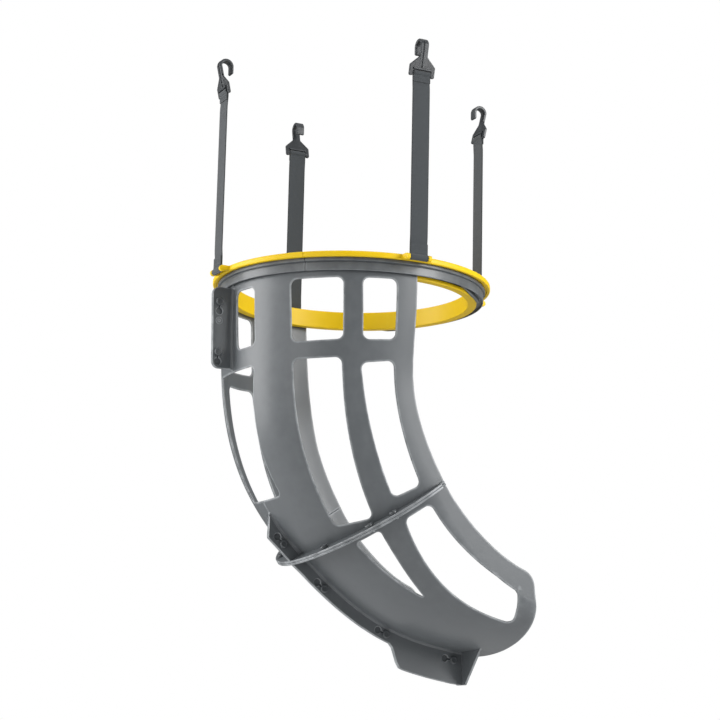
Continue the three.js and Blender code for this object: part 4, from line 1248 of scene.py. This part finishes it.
# %% [markdown]
# Rings, studs and stitches are grown by Geometry Nodes, because they follow a rule or repeat. Each
# tree has named inputs. This helper runs a tree once, takes the finished mesh and leaves no modifier.


# %% Growing with Geometry Nodes
def evaluated(thing):
    """The finished mesh of an object after its modifiers; the object is thrown away."""
    graph = bpy.context.evaluated_depsgraph_get()
    mesh = bpy.data.meshes.new_from_object(thing.evaluated_get(graph))
    bpy.data.objects.remove(thing)
    return mesh


def grown(tree, values):
    """The mesh that a tree makes from the named inputs."""
    holder = in_scene(mesh_object("growing", []))
    modifier = holder.modifiers.new("grow", "NODES")
    modifier.node_group = tree
    for item in tree.interface.items_tree:
        if item.in_out == "INPUT" and item.name in values:
            modifier[item.identifier] = values[item.name]
    return evaluated(holder)


def outline_object(name, points):
    """A closed flat outline that a tree can sweep."""
    line = bpy.data.curves.new(name, "CURVE")
    line.dimensions = "3D"
    spline = line.splines.new("POLY")
    spline.points.add(len(points) - 1)
    for point, (x, y) in zip(spline.points, points):
        point.co = (x, y, 0, 1)
    spline.use_cyclic_u = True
    return bpy.data.objects.new(name, line)


def ring_tree():
    """Sweeps a section along a quarter circle about +X, with a cut-back at both ends."""
    inputs = {"Section": "Object", "Radius": 0.23, "Cut": 0.00015, "Segments": 96, "Finish": "Material"}
    tree, given = new_tree("ring quadrant", "GeometryNodeTree", inputs, {"Geometry": "Geometry"})
    cut = math_node(tree, "DIVIDE", given["Cut"], given["Radius"])
    angles = dict(
        Start_Angle=math_node(tree, "SUBTRACT", cut, QUARTER / 2),
        Sweep_Angle=math_node(tree, "MULTIPLY_ADD", cut, -2.0, QUARTER),
    )
    size = dict(Resolution=given["Segments"], Radius=given["Radius"])
    arc = place(tree, "GeometryNodeCurveArc", {"mode": "RADIUS"}, **size, **angles).outputs["Curve"]
    level = place(tree, "GeometryNodeSetCurveNormal", {"mode": "Z_UP"}, Curve=arc).outputs["Curve"]
    section = place(tree, "GeometryNodeObjectInfo", Object=given["Section"]).outputs["Geometry"]
    bar = place(tree, "GeometryNodeCurveToMesh", Curve=level, Profile_Curve=section, Fill_Caps=True)
    return end_mesh_tree(tree, bar.outputs["Mesh"], given["Finish"])


RING_TREE = ring_tree()

# %% [markdown]
# Both rings are sections swept round. The fixed ring's section is a channel: rim above, wall at the
# bore, lip below. The turning ring lies on that lip; outside it shows a bead, a groove and a skirt.

# %% Ring sections
BORE_RADIUS = 0.210
RIM_RADIUS = 0.250
RIM_THICK = 0.006
RIM_LIP_THICK = 0.006
RIM_LIP_DROP = 0.0022
RIM_CROWN = 0.0018
RIM_CROWN_WIDTH = 0.010
BORE_WALL = 0.004
FIXED_HEIGHT = 0.033
LIP_THICK = 0.003
LIP_RADIUS = 0.2255
LIP_RIM_HEIGHT = 0.0038
LIP_RIM_THICK = 0.0018
TURNING_RADIUS = 0.238
TURNING_TOP = RING_TOP - RIM_THICK - 0.0008
TURNING_LEG_RADIUS = 0.2148
LEG_THICK = 0.004
WEB_THICK = 0.004
SKIRT_THICK = 0.007
SKIRT_HEIGHT = 0.0225
SKIRT_EDGE = 0.0022
SHELF_RADIUS = 0.2267
SHELF_LIFT = 0.004
SHELF_THICK = 0.002
BEAD_PROUD = 0.003
BEAD_HEIGHT = 0.0062
GROOVE_HEIGHT = 0.0026
GROOVE_DEPTH = 0.0014
RING_SEGMENTS = 96
SWIVEL_SEAM_GAP = 0.0009
RING_MIDDLE = (BORE_RADIUS + RIM_RADIUS) / 2


def fixed_section():
    """The fixed ring's corners as (radius, height, rounding), from the bore's foot outwards."""
    bottom, low = RING_TOP - FIXED_HEIGHT, RING_TOP - RIM_THICK
    lip, lip_top = bottom + LIP_THICK, bottom + LIP_THICK + LIP_RIM_HEIGHT
    wall, lip_in = BORE_RADIUS + BORE_WALL, LIP_RADIUS - LIP_RIM_THICK
    rim_in, crown_in = RIM_RADIUS - RIM_LIP_THICK, RIM_RADIUS - RIM_CROWN_WIDTH
    return [
        (BORE_RADIUS, bottom, 0.0013),
        (LIP_RADIUS, bottom, 0.0010),
        (LIP_RADIUS, lip_top, 0.0007),
        (lip_in, lip_top, 0.0007),
        (lip_in, lip, 0.0008),
        (wall, lip, 0.0008),
        (wall, low, 0.0010),
        (rim_in, low, 0.0010),
        (rim_in, low - RIM_LIP_DROP, 0.0010),
        (RIM_RADIUS, low - RIM_LIP_DROP, 0.0022),
        (RIM_RADIUS, RING_TOP + RIM_CROWN, 0.0035),
        (crown_in, RING_TOP + RIM_CROWN, 0.0020),
        (crown_in - RIM_CROWN, RING_TOP, 0.0020),
        (BORE_RADIUS, RING_TOP, 0.0024),
    ]


def turning_section():
    """The turning ring's corners as (radius, height, rounding), from the leg's foot outwards."""
    top, outer, bead = TURNING_TOP, TURNING_RADIUS, TURNING_RADIUS + BEAD_PROUD
    leg_foot = RING_TOP - FIXED_HEIGHT + LIP_THICK + SEAM_GAP
    bottom, under = top - SKIRT_HEIGHT, top - WEB_THICK
    leg, skirt, edge = TURNING_LEG_RADIUS + LEG_THICK, outer - SKIRT_THICK, outer - SKIRT_EDGE
    bead_foot, shelf = top - BEAD_HEIGHT, bottom + SHELF_LIFT
    groove_foot = bead_foot - GROOVE_HEIGHT
    return [
        (TURNING_LEG_RADIUS, leg_foot, 0.0008),
        (leg, leg_foot, 0.0008),
        (leg, under, 0.0010),
        (skirt, under, 0.0010),
        (skirt, shelf + SHELF_THICK, 0.0010),
        (SHELF_RADIUS, shelf + SHELF_THICK, 0.0006),
        (SHELF_RADIUS, shelf, 0.0006),
        (edge, shelf, 0.0008),
        (edge, bottom, 0.0006),
        (outer, bottom, 0.0014),
        (outer, groove_foot, 0.0012),
        (outer - GROOVE_DEPTH, blend(groove_foot, bead_foot, 0.6), 0.0008),
        (bead, bead_foot, 0.0014),
        (bead, top, 0.0016),
        (TURNING_LEG_RADIUS, top, 0.0008),
    ]


def quadrant(section, name, material, gap):
    points = [(r - RING_MIDDLE, -z) for r, z in round_outline(section)[::-1]]
    size = {"Radius": RING_MIDDLE, "Cut": gap / 2, "Segments": RING_SEGMENTS}
    return grown(RING_TREE, {"Section": outline_object(name, points), "Finish": material, **size})


fixed_mesh = quadrant(fixed_section(), "fixed ring section", YELLOW, SEAM_GAP)
turning_mesh = quadrant(turning_section(), "turning ring section", RING_GREY, SWIVEL_SEAM_GAP)
print("quadrants", len(fixed_mesh.polygons), len(turning_mesh.polygons), "faces")

# %% [markdown]
# Neighbouring quadrants of the fixed ring lock with a dovetail in the rim. Its socket is cut with an
# exact Boolean and its tenon is added the same way, so the joint is a real fine gap.

# %% Dovetails
DOVETAIL_LENGTH = 0.010
DOVETAIL_ROOT = 0.012
DOVETAIL_TIP = 0.016
SOCKET_HEADROOM = 0.004


def dovetail(grow, low, high):
    """A dovetail that stands on the ring's cut face, drawn on the +X axis and pointing to +Y."""
    root, tip, length = DOVETAIL_ROOT / 2 + grow, DOVETAIL_TIP / 2 + grow, DOVETAIL_LENGTH + grow
    outline = [(-root, -DOVETAIL_LENGTH), (root, -DOVETAIL_LENGTH), (root, 0)]
    outline += [(tip, length), (-tip, length), (-root, 0)]
    return swept_part([[(RING_MIDDLE + x, y, z) for x, y in outline] for z in (low, high)])


def combined(mesh, operation, part):
    """The exact Boolean of a mesh with a part."""
    other = in_scene(mesh_object("tool", *part))
    base = in_scene(bpy.data.objects.new("base", mesh))
    modifier = base.modifiers.new("cut", "BOOLEAN")
    modifier.operation, modifier.solver, modifier.object = operation, "EXACT", other
    result = evaluated(base)
    bpy.data.objects.remove(other)
    return result


rim_low = RING_TOP - RIM_THICK
socket_part = dovetail(SEAM_GAP, rim_low - SOCKET_HEADROOM, RING_TOP + SOCKET_HEADROOM)
fixed_mesh = combined(fixed_mesh, "DIFFERENCE", turned(socket_part, -QUARTER / 2))
fixed_mesh = combined(fixed_mesh, "UNION", turned(dovetail(0, rim_low, RING_TOP), QUARTER / 2))
print("fixed quadrant", len(fixed_mesh.polygons), "faces with its dovetails")

# %% [markdown]
# Each quadrant carries two ears with a bar between them for a strap. An ear has a square face beside
# the strap and swells back into the rim on its far side, so it is a loft of sections side by side.

# %% Ears and bars
BAR_OUT = RIM_RADIUS + 0.010
BAR_Z = RING_TOP - 0.0045
BAR_RADIUS = 0.003
EAR_INNER = 0.0172
EAR_WIDTH = 0.007
EAR_FLAT = EAR_WIDTH * 0.85
EAR_ROUND = 0.0055
EAR_ROOT_DEPTH = 0.008
EAR_BLEND = 0.0035
EAR_FACE_ROUND = 0.0009
EAR_TIP_BACK = 0.0035
EAR_TIP_SLIM = 0.0004


def ear_section(across, share, inset):
    """The ear where it is cut at one distance from the strap; share 1 is fully inside the rim."""
    edge = math.sqrt(RIM_RADIUS ** 2 - across ** 2)
    root = edge - EAR_ROOT_DEPTH
    centre = blend(BAR_OUT, edge - EAR_TIP_BACK, share)
    height = blend(BAR_Z, RING_TOP - RIM_THICK / 2, share)
    radius = blend(EAR_ROUND, RIM_THICK / 2 - EAR_TIP_SLIM, share) - inset
    top, low = RING_TOP - inset, RING_TOP - RIM_THICK + inset
    start = QUARTER - math.asin(np.clip((height + radius - top) / (centre - root), -1, 1)) * 0.5
    turns = np.linspace(start, -QUARTER, 14)
    line = [(centre + radius * math.cos(t), height + radius * math.sin(t)) for t in turns]
    return [(x, across, z) for x, z in [(root, low), (root, top), *line]]


def ear():
    """Sections from the face beside the strap outwards: distance, share inside the rim, rounding."""
    r = EAR_FACE_ROUND
    stations = [(r * (1 - math.cos(t)), 0, r * (1 - math.sin(t))) for t in (0, 0.5, 1.0)]
    stations += [(r, 0, 0), (EAR_FLAT, 0, 0)]
    for step in np.linspace(0, 1, 15)[1:]:
        far = EAR_FLAT + (EAR_BLEND + EAR_WIDTH - EAR_FLAT) * step
        stations.append((far, float(smooth(0, 1, step)), 0))
    return swept_part([ear_section(EAR_INNER + far, share, inset) for far, share, inset in stations])


def round_bar(centre, radius, half_length, sides):
    """A bar along Y."""
    line = [(radius, half_length), (radius, -half_length)]
    return lathed(line, np.array(centre), (1, 0, 0), (0, 0, 1), sides)


ring_bar = round_bar((BAR_OUT, 0, BAR_Z), BAR_RADIUS, EAR_INNER + EAR_WIDTH / 2, 24)
fixed_part = join([part_of(fixed_mesh), ear(), mirrored(ear()), ring_bar])
four_pieces("ring_{}", fixed_part, YELLOW, "fixed_ring", "fixed_ring", "fixed_ring_{}")

# %% [markdown]
# The front quadrant of the turning ring has a tongue at both ends that reaches past the seam, under
# the neighbour's skirt. It shows below the skirt and in the open front of the chute.

# %% Turning ring
TONGUE_THICK = 0.0045
TONGUE_DROP = 0.0045
TONGUE_ARC = math.radians(15)
TONGUE_ROOT_ARC = math.radians(12)
TONGUE_FOOT_LIFT = 0.0025
TONGUE_EDGE_ROUND = 0.0008
TONGUE_OUTLINE_PITCH = 0.004
TONGUE_PITCH = 0.006
CHUTE_TOP_RADIUS = 0.2307


def drum(radius):
    """The face of an upright drum: arc length to the left, height up."""

    def face(flat):
        turn = flat[:, 0] / radius
        normal = np.stack([np.cos(turn), np.sin(turn), 0 * turn], 1)
        return normal * radius + np.stack([0 * turn, 0 * turn, flat[:, 1]], 1), normal

    return face


def tongue():
    seam = QUARTER / 2
    start, end = (seam - TONGUE_ROOT_ARC) * CHUTE_TOP_RADIUS, (seam + TONGUE_ARC) * CHUTE_TOP_RADIUS
    low, high = TURNING_TOP - SKIRT_HEIGHT - TONGUE_DROP, TURNING_TOP - WEB_THICK - SEAM_GAP
    corners = [(start, low, 0.002), ((end + start) / 2, low, 0.02), (end, low + TONGUE_DROP * 2, 0.003)]
    corners += [(end, high, 0.002), (start, high, 0.002)]
    outline = spaced(round_outline(corners, 5), TONGUE_OUTLINE_PITCH)
    sizes = (TONGUE_THICK, TONGUE_EDGE_ROUND, TONGUE_PITCH, PLATE_BAND)
    blade = sheet_part(drum(CHUTE_TOP_RADIUS), outline, [], *sizes)
    inner, outer = CHUTE_TOP_RADIUS - TONGUE_THICK / 2, TURNING_RADIUS - SKIRT_THICK / 2
    foot, top = TURNING_TOP - SKIRT_HEIGHT + TONGUE_FOOT_LIFT, TURNING_TOP - WEB_THICK / 2
    section = ((inner, foot), (outer, foot), (outer, top), (inner, top))
    turns = np.linspace(seam - TONGUE_ROOT_ARC, seam - SEAM_GAP / TURNING_RADIUS, 13)
    root = swept_part([[(r * math.cos(t), r * math.sin(t), z) for r, z in section] for t in turns])
    return join([blade, root])


for i, side in enumerate(SIDES):
    tongues = [tongue(), mirrored(tongue())] if side == "front" else []
    part = turned(join([part_of(turning_mesh), *tongues]), QUARTER * i)
    add_piece(f"swivel_{side}", part, RING_GREY, "chute", "turning_ring", f"turning_ring_{side}")

# %% [markdown]
# A strap is one length of webbing. It goes round the ring's bar and round the hook's bar, and both
# ends are folded back on the outside and sewn. A path of its middle line gives every section.

# %% Straps
STRAP_WIDTH = 0.0334
STRAP_THICK = 0.0019
STRAP_LENGTH = 0.327
SEWN_LOW = 0.024
SEWN_HIGH = 0.016
LAYER = 0.001
HOOK_BAR_RADIUS = 0.0024
LOOP_SLACK = 0.0003
LOOP_LIFT = math.radians(50)
LOOP_NECK = (2.1, 1.35, 0.5)
TAIL_OVERLAP = 0.004
EASE_LENGTH = 0.016
EASE_PULL = 0.006
SELVEDGE_ROUND = 0.0006


def bezier(a, b, c, d, count=8):
    a, b, c, d = (np.asarray(p, float) for p in (a, b, c, d))
    return cubic(a, b, c, d, np.linspace(0, 1, count)[:, None])


def loop_path(bar, sign):
    """The fold round a bar, from the outer layer to the inner one; sign -1 folds below the bar."""
    radius = bar + LOOP_SLACK + LAYER
    on = np.array([math.cos(LOOP_LIFT), math.sin(LOOP_LIFT)]) * radius
    start, pull, away = LOOP_NECK
    off = on + np.array([-on[1], on[0]]) * away
    neck = bezier((LAYER, radius * start), (LAYER, radius * pull), off, on)
    turns = np.linspace(LOOP_LIFT, -math.pi - LOOP_LIFT, 26)[1:-1]
    round_it = np.stack([np.cos(turns), np.sin(turns)], 1) * radius
    return np.concatenate([neck, round_it, (neck * (-1, 1))[::-1]]) * (1, -sign)


def strap_path():
    """The webbing's middle line in the plane across the ring's edge, from tail to tail."""
    low = np.array([BAR_OUT, BAR_Z])
    high = low + (0, STRAP_LENGTH)
    low_loop, high_loop = loop_path(BAR_RADIUS, -1) + low, (loop_path(HOOK_BAR_RADIUS, 1) + high)[::-1]
    tail_low = straight(low + (LAYER, SEWN_LOW), low_loop[0], 5)[:-1]
    tail_high = straight(high_loop[-1], high + (LAYER, -SEWN_HIGH), 5)[1:]
    start, leave = low + (-LAYER, SEWN_LOW - TAIL_OVERLAP), low + (0, SEWN_LOW + EASE_LENGTH)
    end, arrive = high - (LAYER, SEWN_HIGH - TAIL_OVERLAP), high - (0, SEWN_HIGH + EASE_LENGTH)
    ease = np.array([0, EASE_PULL])
    out = bezier(start, start + ease, leave - ease, leave)
    free = straight(leave, arrive)[1:-1]
    back = bezier(arrive, arrive + ease, end - ease, end)
    return np.concatenate([tail_low, low_loop, out, free, back, high_loop, tail_high])


def webbing_band(path):
    """A band round the path, with soft selvedges, and its weave coordinates per point."""
    ahead = unit(np.gradient(path, axis=0))
    side = np.stack([ahead[:, 1], -ahead[:, 0]], 1)
    half, thick, r = STRAP_WIDTH / 2, STRAP_THICK / 2, SELVEDGE_ROUND
    ring = [(-half + r, thick), (-half / 3, thick), (half / 3, thick), (half - r, thick)]
    ring += [(half - r * 0.3, thick - r * 0.3), (half, thick - r)]
    ring += [(half, r - thick), (half - r * 0.3, r * 0.3 - thick)]
    ring += [(-y, -n) for y, n in ring]
    rows = [[(at[0] + out[0] * n, y, at[1] + out[1] * n) for y, n in ring] for at, out in zip(path, side)]
    return rows, [(far, y + half) for far in run_along(path) for y, n in ring]


rows, weave = webbing_band(strap_path())
for piece in four_pieces("webbing_{}", swept_part(rows), WEBBING, "strap_{}", "webbing", "strap_{}"):
    layer = piece.data.uv_layers.new(name="weave")
    corners = read(piece.data.loops, "vertex_index", int)
    layer.data.foreach_set("uv", np.array(weave)[corners].astype(np.float32).ravel())

# %% [markdown]
# The folds are sewn with rows of thread across the strap. One short stitch is repeated by nodes.

# %% Stitches
STITCH_LENGTH = 0.0028
STITCH_PITCH = 0.0036
THREAD_RADIUS = 0.0006
LOW_ROWS = (0.0085, 0.0155, 0.0190)
HIGH_ROWS = (0.0085, 0.0120)
STITCH_MARGIN = 0.003


def stitch_tree():
    """One row of stitches along Y."""
    inputs = {"Count": 8, "Pitch": 0.0036, "Length": 0.0028, "Thread Radius": 0.0006, "Finish": "Material"}
    tree, given = new_tree("stitch row", "GeometryNodeTree", inputs, {"Geometry": "Geometry"})
    step = place(tree, "ShaderNodeCombineXYZ", Y=given["Pitch"]).outputs[0]
    line = place(tree, "GeometryNodeMeshLine", {"mode": "OFFSET"}, Count=given["Count"], Offset=step)
    bead = place(tree, "GeometryNodeMeshUVSphere", Segments=6, Rings=5, Radius=1.0)
    half, thread = math_node(tree, "MULTIPLY", given["Length"], 0.5), given["Thread Radius"]
    size = place(tree, "ShaderNodeCombineXYZ", X=thread, Y=half, Z=thread).outputs[0]
    copies = dict(Points=line.outputs["Mesh"], Instance=bead.outputs["Mesh"], Scale=size)
    many = place(tree, "GeometryNodeInstanceOnPoints", **copies)
    return end_mesh_tree(tree, many.outputs["Instances"], given["Finish"])


def strap_stitches():
    count = int((STRAP_WIDTH - 2 * STITCH_MARGIN) / STITCH_PITCH) + 1
    size = {"Count": count, "Pitch": STITCH_PITCH, "Length": STITCH_LENGTH, "Thread Radius": THREAD_RADIUS}
    points, faces = part_of(grown(stitch_tree(), {**size, "Finish": THREAD}))
    face_out = LAYER + STRAP_THICK / 2
    heights = [BAR_Z + row for row in LOW_ROWS] + [BAR_Z + STRAP_LENGTH - row for row in HIGH_ROWS]
    sides, first = (BAR_OUT + face_out, BAR_OUT - face_out), -STITCH_PITCH * (count - 1) / 2
    return join([(points + (x, first, z), faces) for z in heights for x in sides])


four_pieces("stitches_{}", strap_stitches(), THREAD, "strap_{}", "webbing")

# %% [markdown]
# A hook is a plate with two ears and a bar for the strap, and a bent strip that hooks over the net
# loop. It leans outwards, so the bend's middle is straight above the bar. The plate has a lip above
# the strap and a rib that runs up from it.

# %% Hooks
HOOK_PLATE = 0.0045
HOOK_EAR_WIDTH = 0.007
HOOK_EAR_DROP = 0.006
HOOK_EAR_ROUND = 0.0026
HOOK_SLOT = 0.0052
HOOK_SQUARE = 0.013
HOOK_SHOULDER = 0.029
HOOK_STRIP_WIDTH = 0.015
HOOK_STRIP_THICK = 0.005
HOOK_RISE = 0.0486
HOOK_BEND = 0.0109
HOOK_TIP = 0.011
HOOK_RIB_WIDTH = 0.0038
HOOK_RIB_PROUD = 0.0015
HOOK_LIP_HEIGHT = 0.0036
HOOK_LIP_PROUD = 0.0022
HOOK_LEAN = math.atan2(HOOK_BEND, HOOK_RISE)
HOOK_TIP_NARROWING = 0.004
STRIP_ROUND = 0.0013
RIB_ROUND = 0.0009
LIP_ROUND = 0.0011
NECK_ROUND = 0.004
PLATE_EDGE_ROUND = 0.0009
HOOK_PITCH = 0.005
SLOT_HALF = STRAP_WIDTH / 2 + 0.0005


def rounded_box(width, thick, radius):
    """A section across (width, thick)."""
    a, b = width / 2, thick / 2
    return round_outline([(-a, -b, radius), (a, -b, radius), (a, b, radius), (-a, b, radius)], 3)


def swept_strip(path, widths, thicks, radius):
    """A rounded strip along a path in the XZ plane; its width lies along Y."""
    rows = []
    for at, way, width, thick in zip(path, unit(np.gradient(path, axis=0)), widths, thicks):
        section = rounded_box(width, thick, min(radius, thick * 0.45, width * 0.45))
        rows.append([(at[0] - way[1] * n, y, at[1] + way[0] * n) for y, n in section])
    return swept_part(rows)


def bend_path(radius, end, count):
    turns = np.linspace(0, end, count)
    return np.stack([np.cos(turns) * radius, np.sin(turns) * radius + HOOK_RISE], 1)


def hook_strip():
    rise = straight((math.tan(HOOK_LEAN) * HOOK_SQUARE, HOOK_SQUARE), (HOOK_BEND, HOOK_RISE), 8)[:-1]
    bend = bend_path(HOOK_BEND, math.pi, 25)
    tip = straight(bend[-1], (-HOOK_BEND, HOOK_RISE - HOOK_TIP), 4)[1:]
    half = HOOK_STRIP_THICK / 2
    ends = half * np.sin(np.linspace(0, QUARTER, 6))[1:]
    path = np.concatenate([rise, bend, tip, np.stack([0 * ends - HOOK_BEND, HOOK_RISE - HOOK_TIP - ends], 1)])
    taper = np.sqrt(np.maximum(1 - (ends / half) ** 2, 0.02))
    taper = np.concatenate([np.ones(len(path) - len(ends)), taper])
    widths = HOOK_STRIP_WIDTH - (1 - taper) * HOOK_TIP_NARROWING
    return swept_strip(path, widths, HOOK_STRIP_THICK * taper, STRIP_ROUND)


def leaning(x, y, z):
    """A point of the plate's own frame, leaned outwards."""
    c, s = math.cos(HOOK_LEAN), math.sin(HOOK_LEAN)
    return np.array([x * c + z * s, y, z * c - x * s])


def hook_plate():
    """The plate's right half is drawn from the slot to the neck and then mirrored."""
    half, neck = SLOT_HALF + HOOK_EAR_WIDTH, HOOK_STRIP_WIDTH / 2
    right = [
        (SLOT_HALF, HOOK_SLOT, 0.0012),
        (SLOT_HALF, -HOOK_EAR_DROP, HOOK_EAR_ROUND),
        (half, -HOOK_EAR_DROP, HOOK_EAR_ROUND),
        (half, HOOK_SQUARE, 0.0024),
        (neck, HOOK_SHOULDER, NECK_ROUND),
        (neck, HOOK_SHOULDER + NECK_ROUND, 0),
    ]
    left = [(-y, z, radius) for y, z, radius in right[::-1]]
    face = flat_face(leaning(HOOK_PLATE / 2, 0, 0), (0, 1, 0), leaning(0, 0, 1))
    outline = round_outline(left[3:] + right + left[:3], 5)
    return sheet_part(face, outline, [], HOOK_PLATE, PLATE_EDGE_ROUND, HOOK_PITCH, PLATE_BAND)


def hook_rib():
    """A rib up the plate's outer face that fades out where the bend begins."""
    bend = bend_path(HOOK_BEND + HOOK_STRIP_THICK / 2, math.radians(45), 10)
    start = leaning(HOOK_PLATE / 2, 0, HOOK_SLOT + HOOK_LIP_HEIGHT / 2)[::2]
    path = np.concatenate([straight(start, bend[0], 8)[:-1], bend])
    proud = HOOK_RIB_PROUD * np.minimum(1, (len(path) - np.arange(len(path))) / 8)
    return swept_strip(path, np.full(len(path), HOOK_RIB_WIDTH), proud * 2, RIB_ROUND)


def hook_lip():
    section = rounded_box(HOOK_PLATE + HOOK_LIP_PROUD * 2, HOOK_LIP_HEIGHT, LIP_ROUND)
    middle = HOOK_SLOT + HOOK_LIP_HEIGHT / 2
    return swept_part([[leaning(x, y, middle + z) for x, z in section] for y in (-SLOT_HALF, SLOT_HALF)])


hook_bar = round_bar((0, 0, 0), HOOK_BAR_RADIUS, SLOT_HALF + HOOK_EAR_WIDTH / 2, 20)
points, faces = join([hook_strip(), hook_plate(), hook_rib(), hook_lip(), hook_bar])
hook_part = (points + (BAR_OUT, 0, BAR_Z + STRAP_LENGTH), faces)
four_pieces("clip_{}", hook_part, HOOK_GREY, "hook_{}", "hooks", "hook_{}")

# %% [markdown]
# Every stud is the same lathed shape, so nodes set one stud on every place. A place has a direction,
# which the tree reads from the attribute "axis".

# %% Studs
STUD_HEAD_HEIGHT = 0.005
STUD_FOOT = 0.0055
STUD_FOOT_HEIGHT = 0.0025
STUD_SIDES = 28
STUD_DISH = STUD_HEAD * 0.55
STUD_DISH_DEPTH = 0.0004
COLLAR_STUD_TURNS = (0.27, 0.56, 0.70)
COLLAR_STUD_SEAT_SHARE = 0.55


def stud_object():
    """A stud along +Z that starts at the far face of the two flanges."""
    gap, head = SEAM_GAP, FLANGE * 2 + SEAM_GAP * 2
    top = head + STUD_HEAD_HEIGHT
    line = round_outline([
        (0.0, -gap - STUD_FOOT_HEIGHT, 0),
        (STUD_FOOT, -gap - STUD_FOOT_HEIGHT, 0.0008),
        (STUD_FOOT, -gap, 0.0005),
        (STUD_SHANK, -gap, 0),
        (STUD_SHANK, head, 0),
        (STUD_HEAD, head, 0.0006),
        (STUD_HEAD, top, 0.0020),
        (STUD_DISH, top, 0.0006),
        (STUD_DISH - STUD_DISH_DEPTH, top - STUD_DISH_DEPTH, 0.0004),
        (0.0, top - STUD_DISH_DEPTH, 0),
    ])
    line = [(r, z) for r, z in line if r > 0]
    return mesh_object("stud", *lathed(line, np.zeros(3), (1, 0, 0), (0, 1, 0), STUD_SIDES))


def stud_tree():
    """Sets a stud on every point, turned to its axis."""
    inputs = {"Places": "Object", "Stud": "Object", "Size": 1.0, "Finish": "Material"}
    tree, given = new_tree("studs on places", "GeometryNodeTree", inputs, {"Geometry": "Geometry"})
    places = place(tree, "GeometryNodeObjectInfo", Object=given["Places"]).outputs["Geometry"]
    shape = place(tree, "GeometryNodeObjectInfo", Object=given["Stud"]).outputs["Geometry"]
    axis = place(tree, "GeometryNodeInputNamedAttribute", {"data_type": "FLOAT_VECTOR"}, Name="axis")
    turn = place(tree, "FunctionNodeAlignRotationToVector", {"axis": "Z"}, Vector=axis.outputs["Attribute"])
    copies = dict(Points=places, Instance=shape, Rotation=turn.outputs["Rotation"], Scale=given["Size"])
    many = place(tree, "GeometryNodeInstanceOnPoints", **copies)
    return end_mesh_tree(tree, many.outputs["Instances"], given["Finish"])


STUD_TREE, STUD = stud_tree(), stud_object()


def studs(name, places, nodes):
    """Studs at (point, axis) places as one piece."""
    holder = mesh_object("places", [at for at, _ in places])
    attribute = holder.data.attributes.new("axis", "FLOAT_VECTOR", "POINT")
    attribute.data.foreach_set("vector", np.array([axis for _, axis in places], np.float32).ravel())
    made = grown(STUD_TREE, {"Places": holder, "Stud": STUD, "Size": 1.0, "Finish": STUD_GREY})
    add_piece(name, part_of(made), STUD_GREY, "chute", "studs", *nodes)


def collar_place(turn, side):
    turn = np.array([turn])
    down, across = collar_point(turn, collar_width(turn) * COLLAR_STUD_SEAT_SHARE)[0]
    at = COLLAR_AT + COLLAR_DOWN * down + COLLAR_NORMAL * (FLANGE + SEAM_GAP / 2)
    return (at[0], -across * side, at[2]), tuple(-COLLAR_NORMAL)


def flange_studs(name, places, node):
    """Studs through the flanges in the middle plane, whose heads are on the right."""
    seats = [((x, -FLANGE_Y, z), (0, -1, 0)) for x, z in places]
    studs(name, seats, [f"{node}_{i + 1}" for i in range(len(places))])


flange_studs("studs_seam", seam_studs, "seam_stud")
flange_studs("studs_keel", kite_studs + keel_studs, "keel_stud")
collar_places = [collar_place(turn, side) for side in (1, -1) for turn in COLLAR_STUD_TURNS]
collar_nodes = [f"collar_stud_{side}_{i}" for side in ("right", "left") for i in (1, 2, 3)]
studs("studs_collar", collar_places, collar_nodes)
